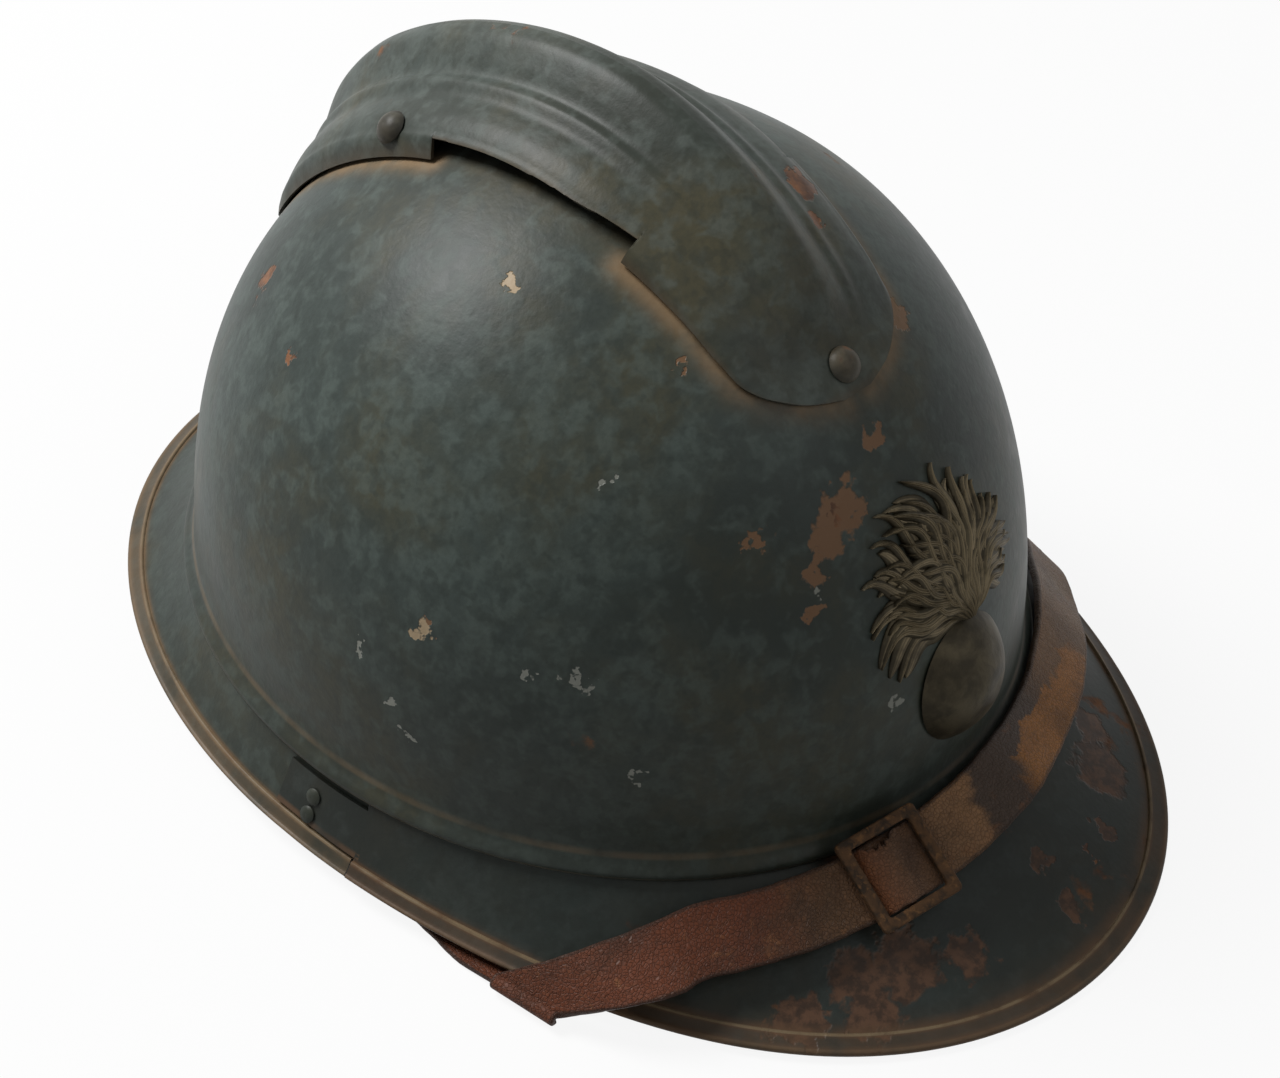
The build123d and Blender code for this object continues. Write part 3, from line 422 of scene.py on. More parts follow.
def brim_reach_fall(outward):
    """The brim reaches furthest and falls most in front, less behind and least at the sides."""
    share = np.abs(outward[..., 1])
    ahead = outward[..., 1] < 0
    reach = 10 + np.where(ahead, 38.5 * share ** 2.6, 18.0 * share ** 2.3)
    fall = 15.3 + (np.where(ahead, 20.0, 20.0 - sheet - lap_clearance) - 15.3) * share
    return reach - slot_out, fall - clearance


def brim_point(turn, share, depth):
    """A point of the brim: it goes outwards evenly and falls as 1 - (1 - share)^1.25, moved in square to
    itself by a depth."""
    point, outward = brim_base(turn)
    reach, fall = brim_reach_fall(outward)
    rise = np.array([0, 0, 1.0])
    height = -clearance - fall * (1 - np.maximum(1 - share, 0) ** 1.25)
    slope = fall * 1.25 * np.maximum(1 - share, 0.02) ** 0.25
    normal = outward * slope[..., None] + rise * reach[..., None]
    normal /= np.linalg.norm(normal, axis=-1, keepdims=True)
    return point + outward * (slot_out + reach * share)[..., None] + rise * height[..., None] - normal * depth


def hemmed_brim(brim_turns, depth):
    """Closed sections of a brim at each turn, from the flange in the bead over the top to the hem, round its
    edge and back under; with the worn share of each point."""
    point, outward = brim_base(brim_turns)
    reach, fall = brim_reach_fall(outward)
    limit = 1 - hem_width / np.hypot(reach, fall + clearance)
    rise = np.array([0, 0, 1.0])
    outer = point + outward * (slot_out - lap_clearance)
    inner = outer - outward * sheet
    section = [(inner - rise * (clearance + depth + sheet), 0), (inner + rise * (slot_rise - lap_clearance), 0),
               (outer + rise * (slot_rise - lap_clearance), 0), (outer - rise * (clearance + depth), 0)]
    section += [(brim_point(brim_turns, s * limit, depth), w) for s, w in (
        (0.03, 0), (0.08, 0), (0.16, 0), (0.26, 0), (0.38, 0), (0.5, 0), (0.62, 0), (0.74, 0), (0.85, 0), (0.93, 0.1),
        (0.975, 0.6), (1.0, 0.95))]
    section += [(brim_point(brim_turns, limit + (1 - limit) * s, depth - hem_rise * r), w) for s, r, w in (
        (0.02, 0.7, 1.0), (0.06, 0.98, 1.0), (0.17, 1.0, 0.95), (0.34, 1.0, 0.45), (0.7, 1.0, 0.4), (0.9, 1.0, 0.6))]
    tip = brim_point(brim_turns, np.ones_like(limit), depth + sheet / 2)
    top = brim_point(brim_turns, np.ones_like(limit), depth - hem_rise) - tip
    half = np.linalg.norm(top, axis=-1, keepdims=True)
    section += [(tip + top * math.cos(a) + outward * half * math.sin(a), 0.85)
                for a in np.radians(np.linspace(0, 180, 8))]
    section += [(brim_point(brim_turns, limit + (1 - limit) * s, depth + sheet + hem_rise * r), 0.3)
                for s, r in ((0.7, 1.0), (0.14, 1.0), (0.02, 0.8))]
    section += [(brim_point(brim_turns, s * limit, depth + sheet), 0) for s in
                (1.0, 0.9, 0.78, 0.64, 0.5, 0.36, 0.22, 0.1, 0.04)]
    worn = np.array([np.full(len(brim_turns), w) for _, w in section])
    return np.array([p for p, _ in section]).transpose(1, 0, 2), worn.T


def plain_lap(lap_turns):
    """The visor's unhemmed end: the sheet alone, with a small round along its outer edge."""
    _, outward = brim_base(lap_turns)
    reach, fall = brim_reach_fall(outward)
    limit = 1 - (hem_width + 0.8) / np.hypot(reach, fall + clearance)
    shares = np.linspace(0.13, 1, 14)
    section = [brim_point(lap_turns, s * limit, 0.0) for s in shares]
    section += [brim_point(lap_turns, limit + 0.004, sheet / 2)]
    section += [brim_point(lap_turns, s * limit, sheet) for s in shares[::-1]]
    worn = np.array([np.full(len(lap_turns), 0.8 if 11 < i < 17 else 0.0) for i in range(len(section))])
    return np.array(section).transpose(1, 0, 2), worn.T


visor_grid, visor_worn = hemmed_brim(np.linspace(-80, 80, 161), 0.0)
laps = [plain_lap(np.linspace(side * 79.4, side * 93, 16)[::side]) for side in (-1, 1)]
visor = lay("visor", [visor_grid, laps[0][0], laps[1][0]], wrap_columns=True, capped=True, crease=50,
            worn=[visor_worn, laps[0][1], laps[1][1]])
guard_grid, guard_worn = hemmed_brim(np.linspace(80.4, 279.6, 200), sheet + lap_clearance)
guard = lay("neck_brim", [guard_grid], wrap_columns=True, capped=True, crease=50, worn=[guard_worn])
visor_chips = [(-34, -123, -13.5, 8.0, "stain"), (44, -117, -13.4, 8.0, "stain"), (10, -126, -11.6, 3.4, "stain"),
               (8, -137, -16, 3.0, "stain"), (32, -128, -15, 3.0, "stain"), (-60, -116, -17, 6.0, "stain"),
               (-22, -130, -15.0, 6.0, "stain"), (-45, -118, -14.0, 7.0, "stain"), (52, -108, -12.5, 6.0, "stain"),
               (22, -131, -15, 1.8, "rust"), (-47, -126, -18, 6.0, "stain")]
# Painted shade: the visor's paint tones are darker copies of the skull's, as the visor lies in the skull's shadow.
visor_paint_darkened_for_shade = weathered_paint_with_low_shade(
    "visor_paint_darkened_for_shade", (0.02, 0.028, 0.027, 1), (0.034, 0.042, 0.04, 1), (0.012, 0.015, 0.014, 1),
    (0.026, 0.024, 0.017, 1), 0.64, visor_chips, (0.07, 0.04, 0.022, 1))
guard_paint = weathered_paint_with_low_shade("guard_paint", slate, slate_light, slate_dark, olive, 0.76, (), (0.1, 0.065, 0.036, 1))
shown(visor_paint_darkened_for_shade, visor)
shown(guard_paint, guard)
for piece, node in ((visor, "front_visor"), (guard, "neck_guard")):
    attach(piece, "helmet")
    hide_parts(node)


# The crest: a comb pressed from sheet with two ribs along each side, that lies on the crown from the spade
# at its front to its tail, and stands off it along the middle of each side as a vent.
crest_turns = [49.3, 50.3, 52.6, 55.8, 59, 65, 72, 81, 90, 100, 110, 120, 130, 137, 142, 145.5, 149, 151.5, 152.5]
crest_widths = [0.15, 0.38, 0.66, 0.86, 0.91, 0.94, 0.97, 1, 1, 1, 1.02, 1.04, 1.03, 1, 0.97, 0.9, 0.66, 0.38, 0.15]
crest_heights = [0, 0, 0, 0.05, 0.24, 0.47, 0.66, 0.83, 0.95, 1, 1, 0.99, 0.92, 0.74, 0.45, 0.16, 0, 0, 0]
ridge_places = [0, 0.13, 0.27, 0.38, 0.47, 0.56, 0.67, 0.8, 0.9, 0.97, 1]
ridge_reliefs = [1, 0.94, 0.73, 0.55, 0.54, 0.43, 0.4, 0.36, 0.28, 0.18, 0]
crest_half_width, crest_height, vent_gap, vent_front, vent_rear = 27.0, 16.5, 3.0, -22, 36
crest_columns, fine_columns = 56, 241


def crown_line(angle):
    """The skull's middle line over the crown, from 0 degrees in front to 180 behind."""
    level = np.sin(np.radians(angle))
    ahead = angle < 90
    length = np.where(ahead, -skull_front * front_share(level), skull_rear * side_share(level))
    return crown_shift * level ** 2 + length, base_z + skull_height * level


def crown_normal(angle):
    """The direction square to the middle line, outwards."""
    y_ahead, z_ahead = crown_line(angle + 0.5)
    y_back, z_back = crown_line(angle - 0.5)
    run = np.hypot(y_ahead - y_back, z_ahead - z_back)
    return -(z_ahead - z_back) / run, (y_ahead - y_back) / run


def crest_grid(angles, edge_shares, columns):
    """The outer and inner faces of the crest at each angle, from the left edge over the ridge to the right
    and back inside: side distance by share of the half width, height by the relief table above the skull."""
    half = crest_half_width * through(angles, crest_turns, crest_widths)
    height = crest_height * np.maximum(through(angles, crest_turns, crest_heights), 0)
    shares = np.linspace(0, 1, columns)[None, :]
    shares = np.minimum(shares, 0.7) + np.maximum(0, shares - 0.7) / 0.3 * (edge_shares[:, None] - 0.7)
    relief = np.stack([through(row, ridge_places, ridge_reliefs) for row in shares])
    x = shares * half[:, None]
    y0, z0 = crown_line(angles)
    ny, nz = crown_normal(angles)
    drop = bisected(lambda d: skull_excess(x, y0[:, None] - ny[:, None] * d, z0[:, None] - nz[:, None] * d),
                    np.full_like(x, skull_half_width))
    v = clearance + sheet - drop + relief * height[:, None]
    full_x = np.concatenate([-x[:, :0:-1], x], axis=1)
    full_v = np.concatenate([v[:, :0:-1], v], axis=1)
    slope_x, slope_v = np.gradient(full_x, axis=1), np.gradient(full_v, axis=1)
    run = np.hypot(slope_x, slope_v)
    in_x, in_v = full_x + slope_v / run * sheet, full_v - slope_x / run * sheet
    x2 = np.concatenate([full_x, in_x[:, ::-1]], axis=1)
    v2 = np.concatenate([full_v, in_v[:, ::-1]], axis=1)
    return np.stack([x2, y0[:, None] + ny[:, None] * v2, z0[:, None] + nz[:, None] * v2], axis=-1)


def vent_edges(angles):
    """The share of the half width at which the crest's edge stands the vent's gap off the skull."""
    whole = crest_grid(angles, np.ones_like(angles), fine_columns)[:, fine_columns - 1:2 * fine_columns - 1]
    clear = skull_excess(whole[..., 0], whole[..., 1], whole[..., 2], vent_gap + sheet) > 0
    last = np.array([np.max(np.nonzero(row)[0]) if row.any() else fine_columns - 1 for row in clear])
    y = crown_line(angles)[0]
    return np.where((y > vent_front) & (y < vent_rear), last / (fine_columns - 1), 1.0)


crest_angles = np.unique(np.concatenate([np.linspace(crest_turns[0], crest_turns[-1], 170),
                                         [49.6, 49.9, 50.6, 51.2, 151.9, 152.2]]))
crown_y = crown_line(crest_angles)[0]
steps = np.array([np.interp(y, crown_y, crest_angles) for y in (
    vent_front - 0.15, vent_front + 0.15, vent_rear - 0.15, vent_rear + 0.15)])
crest_angles = np.unique(np.concatenate([crest_angles, steps]))
edges = vent_edges(crest_angles)
crest_points = crest_grid(crest_angles, edges, crest_columns)
across = np.concatenate([np.linspace(1, 0, crest_columns)[:-1], np.linspace(0, 1, crest_columns)])
sides_worn = np.clip((across - 0.97) / 0.03, 0, 1)[None, :] * 0.5
ends_worn = np.clip(np.maximum(50.2 - crest_angles, crest_angles - 151.6), 0, 0.5)[:, None]
crest_worn = np.maximum(sides_worn, ends_worn)
crest_worn = np.concatenate([crest_worn, crest_worn[:, ::-1]], axis=1)
crest = lay("comb", [crest_points], wrap_columns=True, capped=True, crease=45, worn=[crest_worn])
crest_chips = [(-2, 40, 137, 5.0, "rust"), (20, -30, 118, 4.0, "rust"), (14, -38, 113, 2.5, "rust")]
crest_paint = weathered_paint_with_low_shade(
    "crest_paint", (0.036, 0.044, 0.039, 1), (0.066, 0.078, 0.07, 1), (0.02, 0.023, 0.018, 1),
    (0.052, 0.046, 0.026, 1), 0.7, crest_chips, (0.06, 0.038, 0.02, 1))
shown(crest_paint, crest)
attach(crest, "helmet")
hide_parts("crest")

# Grime lies on the skull along the crest's foot: the nearer to its rim, the more of the worn share.
rim = np.concatenate([crest_points[:, 0], crest_points[::-1, 2 * crest_columns - 2]]) + (0, centre_shift, 0)
skull_places = np.empty(len(skull.data.vertices) * 3)
skull.data.vertices.foreach_get("co", skull_places)
skull_places = skull_places.reshape(-1, 3) * 1000
crown_z, grime_width = 95, 3.2
crown = np.nonzero(skull_places[:, 2] > crown_z)[0]
nearest = np.array([np.min(np.linalg.norm(rim - place, axis=1)) for place in skull_places[crown]])
stained = np.zeros(len(skull_places), np.float32)
skull.data.attributes["worn"].data.foreach_get("value", stained)
stained[crown] = np.maximum(stained[crown], 0.75 * np.exp(-(nearest / grime_width) ** 2))
skull.data.attributes["worn"].data.foreach_set("value", stained)


# The rivets: round heads that hold the crest, and two flat ones through each lap of the brims. They were
# painted with the helmet; the crest's rivets have a browner paint of their own.
rivet_paint = weathered_paint_with_low_shade(
    "rivet_paint", (0.04, 0.04, 0.032, 1), (0.07, 0.066, 0.05, 1), (0.022, 0.02, 0.016, 1),
    (0.065, 0.048, 0.028, 1), 0.6)
for node in ("crest_front_rivet", "crest_rear_rivet", "crest_left_rivet", "crest_right_rivet"):
    shown(rivet_paint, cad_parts[node])
for node in ("brim_rivets_left", "brim_rivets_right"):
    shown(guard_paint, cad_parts[node])


# The badge: a flaming grenade stamped in thin brass and browned. A bare domed ball sits low on the skull's
# front, and wavy locks of flame fan out from above it, the later ones lying over the earlier.
badge_offset, ball_height, ball_radius, ball_relief, flame_root = 7.0, 29.0, 14.5, 7.5, 43.2


def on_front(x, z, above):
    """A point above the skull's front at a side distance and a height over its base, and the direction square
    to the skull there from the slope of skull_excess."""
    level = z / skull_height
    z = z + base_z
    wide = skull_half_width * side_share(level)
    y = crown_shift * level ** 2 - skull_front * front_share(level) * np.sqrt(np.maximum(1 - (x / wide) ** 2, 0))
    slopes = [skull_excess(x + a, y + b, z + c) - skull_excess(x - a, y - b, z - c)
              for a, b, c in ((0.1, 0, 0), (0, 0.1, 0), (0, 0, 0.1))]
    normal = np.stack(slopes, axis=-1)
    normal /= np.linalg.norm(normal, axis=-1, keepdims=True)
    return np.stack([x, y, z], axis=-1) + normal * np.asarray(above)[..., None], normal


def flame_lock(tip_turn, length, half_width, low, high, curl, wave, start_turn):
    """One lock: its line runs from the root at its starting turn and waves to the tip's turn, its width
    swells from the root and ends in a blunt curled tip, and its section is a grooved ridge."""
    s = np.linspace(0, 1, 34)[:, None]
    j = np.linspace(-1, 1, 13)[None, :]
    angle = np.radians(start_turn + (tip_turn - start_turn) * s ** 0.8
                       + curl * np.sin(3.1 * np.pi * s + wave) * s ** 0.5 * (1.1 - 0.5 * s)
                       + 0.7 * curl * math.copysign(1, tip_turn) * np.maximum(0, s - 0.7) ** 1.5 / 0.164)
    reach = 1.2 + (length - 1.2) * s
    x = badge_offset + 1.0 + reach * np.sin(angle)
    z = flame_root + reach * np.cos(angle)
    run_x, run_z = np.gradient(x, axis=0), np.gradient(z, axis=0)
    run = np.hypot(run_x, run_z)
    half = half_width * (0.3 + 0.7 * np.minimum(1, s / 0.45) ** 1.3) * (1 - s ** 5) ** 0.75 + 0.06
    x, z = x + run_z / run * half * j, z - run_x / run * half * j
    rise = high * (0.5 + 0.5 * np.sin(np.pi * np.clip(s * 0.85 + 0.1, 0, 1)))
    ridge = (1 - np.abs(j) ** 2.2) * (1 - 0.13 * (1 - np.cos(5 * np.pi * j)) * (np.abs(j) < 0.8))
    top, _ = on_front(x, z, low * (1 - 0.5 * s ** 3) + rise * ridge)
    under, _ = on_front(x, z, 0.1 + 0 * rise * ridge)
    return np.concatenate([top, under[:, ::-1]], axis=1), np.concatenate([ridge + 0 * s, 0 * j + 0 * s], axis=1)


flame_turns = np.array([-92, -85, -77, -61, -53, -34, -18, -11, 5, 19, 39, 58, 72, 86])
flame_lengths = np.array([22.0, 25.2, 27.3, 30.9, 31.2, 33.9, 34.8, 33.8, 32.4, 30.9, 27.9, 26.1, 24.5, 18.0])
chance = np.random.default_rng(11)
locks = []
flame_layers = ((21, -92, 88, 0.97, 2.7, 0.5, 0.9), (21, -90, 84, 1.02, 1.7, 1.0, 1.2),
                (19, -82, 78, 0.9, 1.5, 1.6, 1.3), (16, -72, 66, 0.76, 1.35, 2.2, 1.2),
                (12, -56, 52, 0.58, 1.2, 2.8, 1.1), (8, -40, 36, 0.42, 1.0, 3.2, 0.9))
for count, first, last, length, half_width, low, high in flame_layers:
    for turn in np.linspace(first, last, count):
        tip = turn + chance.uniform(-4, 4)
        reach = np.interp(tip, flame_turns, flame_lengths) * length * chance.uniform(0.88, 1.0)
        locks.append(flame_lock(
            tip, reach, half_width * chance.uniform(0.8, 1.15), low, high * chance.uniform(0.75, 1.2),
            chance.uniform(6, 10), 1.6 * math.sin(tip * 0.055 + low) + chance.uniform(-0.4, 0.4),
            tip * 0.72 + 12 + chance.uniform(-4, 4)))
middle, out = on_front(np.array(badge_offset), np.array(ball_height), np.array(0.0))
bulge = (ball_radius ** 2 + ball_relief ** 2) / (2 * ball_relief)
lift = np.radians(np.linspace(0.5, 57, 26))[:, None]
around = np.radians(np.arange(0, 360, 6))[None, :]
side_way = np.cross([0, 0, 1.0], out)
side_way /= np.linalg.norm(side_way)
up_way = np.cross(out, side_way)
ball_side, ball_up = np.sin(lift) * np.cos(around), np.sin(lift) * np.sin(around)
dents = sum(-deep * np.exp(-((ball_side * bulge - u) ** 2 + (ball_up * bulge - v) ** 2) / wide ** 2)
            for u, v, deep, wide in ((3, -2, 0.35, 3.0), (-5, 3, 0.25, 2.5), (-2, -7, 0.3, 2.5), (5, 6, 0.2, 2.0)))
ball = (middle + out * (ball_relief - bulge) + (bulge + dents)[..., None] * (
    np.cos(lift)[..., None] * out + ball_side[..., None] * side_way + ball_up[..., None] * up_way))
badge = lay("grenade_badge", [g for g, _ in locks], wrap_columns=True, capped=True, crease=70,
            ridge=[r for _, r in locks])
ball_piece = lay("badge_ball", [ball[::-1]], wrap_columns=True, capped=True, crease=70)
bronze, shader, place = shading("browned_brass", 0.4, 0.5, 0.12)
grime = mottle(place, 7, 5.0, (0.2, 0.6, 0.1), 0.3)
colour = tinted(stepped(grime, 0.35, 0.68), (0.022, 0.018, 0.011, 1), (0.056, 0.046, 0.028, 1))
# The tops of the locks' ridges are lighter: partly brass rubbed bare, partly a painted highlight.
rubbed = figured("MULTIPLY", stepped(marked(shader, "ridge"), 0.62, 1.0), stepped(grime, 0.3, 0.55, 0.35, 1.0))
coated(shader, tinted(rubbed, colour, (0.17, 0.135, 0.082, 1)), None, (0.4, 0.0003, mottle(place, 2.2, 3.0)))
for piece in (badge, ball_piece):
    shown(bronze, piece)
    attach(piece, "helmet")
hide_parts("badge")


# The chin strap: one band of brown leather laid over the visor and folded over the brim's edge at each side,
# its thinner tails running back under the brim to the rings. Its tones run red, grey and orange along its length.
strap_width, strap_thickness, strap_radius, strap_centre_x = 16.0, 2.0, 106.0, -4.5
tail_thickness, fold_gap, fold_height = 1.4, 0.3, -17.7


def cone_point(turn, across, above):
    """A point of the leaning cone that the strap's front follows: a turn about the tilted axis, a distance
    across from the upper edge and one above the leather's middle."""
    lean, tilt, turn = math.radians(30), math.radians(6), np.radians(turn)
    radius = strap_radius + across * math.cos(lean) + above * math.sin(lean)
    height = above * math.cos(lean) - across * math.sin(lean)
    x, y = radius * np.sin(turn), -radius * np.cos(turn)
    return np.stack([strap_centre_x + x * math.cos(tilt) - height * math.sin(tilt), y + 0 * x,
                     base_z + 6.8 + x * math.sin(tilt) + height * math.cos(tilt)], axis=-1)


def cone_slice(turn, width, top, bottom):
    """A slice across the strap's front: a width about its middle, between two distances above its middle."""
    first = (strap_width - width) / 2
    return np.array([cone_point(turn, first, top), cone_point(turn, first + width, top),
                     cone_point(turn, first + width, bottom), cone_point(turn, first, bottom)])


def round_axis(turn, radius, height):
    """A point by its turn round the strap's upright middle, its distance from it and its height."""
    return np.array([strap_centre_x + radius * math.sin(math.radians(turn)), -radius * math.cos(math.radians(turn)),
                     base_z + height])


def strap_side(stations, fold, tail, cone_end):
    """Slices of one side of the strap: the free length over the brim, four steps round the fold, and the tail.
    Each slice is its upper and lower edge on the face, then the same on the back."""
    edges = [(cone_point(cone_end, 0, 0), cone_point(cone_end, strap_width, 0))]
    edges += [(round_axis(a, r, z), round_axis(b, q, h)) for a, r, z, b, q, h in stations]
    edges += [(np.array([x, y, base_z + fold_height]), np.array([u, v, base_z + fold_height]))
              for x, y, u, v in fold]
    edges = np.array(edges)
    run = edges[2:].sum(axis=1) - edges[:-2].sum(axis=1)
    slices = []
    for (upper, lower), way in zip(edges[1:-1], run):
        normal = np.cross(lower - upper, way)
        normal *= math.copysign(strap_thickness / 2, normal[2]) / np.linalg.norm(normal)
        slices.append([upper + normal, lower + normal, lower - normal, upper - normal])
    upper, lower = edges[-1]
    bend = fold_gap / 2
    down = np.array([0, 0, strap_thickness / 2 + bend])
    way = np.cross([0, 0, 1.0], (lower - upper) / np.linalg.norm(lower - upper))
    way *= math.copysign(1, way[0] * upper[0])
    for share in np.linspace(0, 1, 5):
        out_way = np.array([0, 0, math.cos(math.pi * share)]) + way * math.sin(math.pi * share)
        far = bend + strap_thickness + (tail_thickness - strap_thickness) * share
        slices.append([upper - down + out_way * far, lower - down + out_way * far,
                       lower - down + out_way * bend, upper - down + out_way * bend])
    thin = np.array([0, 0, tail_thickness / 2])
    for a, b, c, d, h in tail:
        upper, lower = np.array([a, b, base_z + h]), np.array([c, d, base_z + h])
        slices.append([upper - thin, lower - thin, lower + thin, upper + thin])
    return slices


def leather_band(slices, corner, step):
    """A band through slices of four corners, smooth along its length, with rounded edges and a slight waver in
    its cut; and for each point its turn round the helmet from 0 to 1, how near it is to an edge, and its place
    across the band. Near the ends of long spans a slice is added, so that bends don't spread into them."""
    slices = np.array(slices)
    spans = np.linalg.norm(np.diff(slices.mean(axis=1), axis=0), axis=1)
    kept = [slices[0]]
    for i, span in enumerate(spans):
        if span > 4 and i > 0 and spans[i - 1] < 1.5:
            kept.append(slices[i] + (slices[i + 1] - slices[i]) / span)
        if span > 4 and i + 1 < len(spans) and spans[i + 1] < 1.5:
            kept.append(slices[i + 1] + (slices[i] - slices[i + 1]) / span)
        kept.append(slices[i + 1])
    slices = np.array(kept)
    places = np.concatenate([[0], np.cumsum(np.linalg.norm(np.diff(slices.mean(axis=1), axis=0), axis=1))])
    at = np.concatenate([np.linspace(a, b, max(3, math.ceil((b - a) / step)), endpoint=False)
                         for a, b in zip(places, places[1:])] + [places[-1:]])
    rows = through(at, places, slices)
    width = np.linalg.norm(rows[:, 1] - rows[:, 0], axis=1)[:, None]
    thick = np.linalg.norm(rows[:, 3] - rows[:, 0], axis=1)[:, None]
    bend = np.radians(np.linspace(0, 90, 5))
    flat = np.linspace(0, 1, 11)[1:-1]
    p, q, inset_p, inset_q = [], [], [], []
    for sx, sy, a in ((1, 0, bend[::-1]), (1, 1, bend), (0, 1, bend[::-1]), (0, 0, bend)):
        p += [float(sx)] * 5
        q += [float(sy)] * 5
        inset_p += list((1 - np.cos(a)) * (1 - 2 * sx))
        inset_q += list((1 - np.sin(a)) * (1 - 2 * sy))
        if (sx, sy) in ((1, 1), (0, 0)):
            p += list(flat[::-1] if sx else flat)
            q += [float(sy)] * len(flat)
            inset_p += [0.0] * len(flat)
            inset_q += [0.0] * len(flat)
    p, q, inset_p, inset_q = (np.array(v)[None, :] for v in (p, q, inset_p, inset_q))
    waver = (0.16 * np.sin(at * 0.31) + 0.12 * np.sin(at * 0.83 + 1) + 0.07 * np.sin(at * 2.1 + 2))[:, None]
    p2 = p + inset_p * corner / width + (p - 0.5) * waver / width
    q2 = q + inset_q * np.minimum(corner, thick * 0.45) / thick
    p2, q2 = p2[..., None], q2[..., None]
    points = ((rows[:, None, 0] * (1 - p2) + rows[:, None, 1] * p2) * (1 - q2)
              + (rows[:, None, 3] * (1 - p2) + rows[:, None, 2] * p2) * q2)
    turn = np.degrees(np.arctan2(points[..., 0] - strap_centre_x, -points[..., 1]))
    return points, np.clip((turn + 70) / 140, 0, 1), np.abs(p - 0.5) * 2 + 0 * turn, p + 0 * turn


front_first, front_last = -34.0, 8.0
right_side = strap_side(
    [(-42, 109.0, -3.5, -37, 122.4, -8.2), (-49.5, 112.4, -8.0, -43, 123.2, -11.4)], [(-98.3, -61.7, -96.1, -78.8)],
    [(-99.4, -52, -92.0, -68, -20.3), (-99, -44, -87, -56, -20.2), (-98, -26, -84, -34, -19.2),
     (-97, -12, -82.5, -14, -18.4), (-97, 8, -82.5, 8, -17.8)], front_first)
left_side = strap_side(
    [(20, 105.2, 6.2, 18, 118.2, -1.6), (31, 105.0, 5.0, 29, 118.4, -3.8), (42, 105.8, 3.2, 39, 118.6, -6.8),
     (52, 108.0, -2.4, 47, 118.6, -10.6), (60, 112.0, -8.8, 54, 119.4, -13.0)], [(102.3, -42.0, 99.5, -58.0)],
    [(101.4, -33, 93.5, -47, -20.2), (99.5, -24, 86, -33, -19.6), (97, -12, 82.5, -14, -18.4),
     (97, 8, 82.5, 8, -17.8)], front_last)
front_slices = [cone_slice(turn, strap_width, strap_thickness / 2, -strap_thickness / 2)
                for turn in np.linspace(front_first, front_last, 15)]
strap_points, strap_turn, strap_edge, strap_across = leather_band(
    right_side[::-1] + front_slices + left_side, 0.55, 1.3)
strap = lay("chin_strap_leather", [strap_points], wrap_columns=True, capped=True, crease=60,
            turn=[strap_turn], edge=[strap_edge], across=[strap_across])


def old_leather(name, tones, patch=(0.17, 0.075, 0.032, 1), dark=(0.022, 0.013, 0.009, 1), rough=0.45, stain=None):
    """Old leather: tones along the turn attribute, cloudy staining, rubbed patches, a fine pebbled grain and
    creases, and dark burnished edges. When given, another tone covers its lower half between two turns."""
    material, shader, place = shading(name, 0.0, rough, 0.11)
    cloud = mottle(place, 16, 5.0, (0.1, 0.7, 0.3), 0.4)
    along = scaled(figured("SUBTRACT", cloud, 0.5), 0.09, marked(shader, "turn"))
    ramp = shader.id_data.nodes.new("ShaderNodeValToRGB")
    shader.id_data.links.new(along, ramp.inputs[0])
    for i, (spot, tone) in enumerate(tones):
        stop = ramp.color_ramp.elements[i] if i < 2 else ramp.color_ramp.elements.new(spot)
        stop.position = spot
        stop.color = tone
    colour = ramp.outputs[0]
    if stain:
        first, last, lower_half_tone = stain
        ragged = mottle(place, 9, 4.0, (0.8, 0.2, 0.2), 0.5)
        low_half = scaled(figured("SUBTRACT", ragged, 0.5), 0.9, marked(shader, "across"))
        here = figured("MULTIPLY", stepped(along, first, first + 0.025), stepped(along, last + 0.03, last))
        colour = tinted(figured("MULTIPLY", here, stepped(low_half, 0.36, 0.42)), colour, lower_half_tone)
    cell = wired("ShaderNodeTexVoronoi", {"Vector": place, "Scale": 1100.0}, feature="DISTANCE_TO_EDGE")
    pores = stepped(cell, 0.0, 0.16)
    for share, tone in (
            (stepped(cloud, 0.42, 0.7, 0.0, 0.6), dark),
            (stepped(mottle(place, 5, 5.0, (0.5, 0.1, 0.9), 0.6), 0.56, 0.72, 0.0, 0.45), patch),
            (stepped(marked(shader, "edge"), 0.9, 1.0, 0.0, 0.7), dark), (scaled(pores, -0.35, 0.35), dark)):
        colour = tinted(share, colour, tone)
    crease = stepped(mottle(place, 3.2, 6.0, (0.3, 0.3, 0.8), 1.2), 0.45, 0.56)
    coated(shader, colour, None, (0.8, 0.0003, scaled(pores, 0.5, figured("MULTIPLY", crease, 0.5))))
    return material


red_brown, grey_brown, purple_brown = (0.085, 0.027, 0.013, 1), (0.075, 0.04, 0.02, 1), (0.056, 0.038, 0.028, 1)
mid_brown, tan, orange = (0.12, 0.06, 0.03, 1), (0.24, 0.13, 0.064, 1), (0.29, 0.125, 0.036, 1)
# Between turns 0.56 and 0.74, on the wearer's left front, the band's lower half is orange.
strap_leather = old_leather("strap_leather", [
    (0.0, red_brown), (0.3, red_brown), (0.36, grey_brown), (0.42, mid_brown), (0.455, mid_brown), (0.484, tan),
    (0.51, tan), (0.518, purple_brown), (0.64, purple_brown), (0.7, (0.17, 0.095, 0.05, 1)),
    (0.86, (0.15, 0.09, 0.05, 1)), (0.94, (0.13, 0.055, 0.025, 1))], stain=(0.56, 0.74, orange))
shown(strap_leather, strap)
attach(strap, "helmet")
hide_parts("chin_strap")

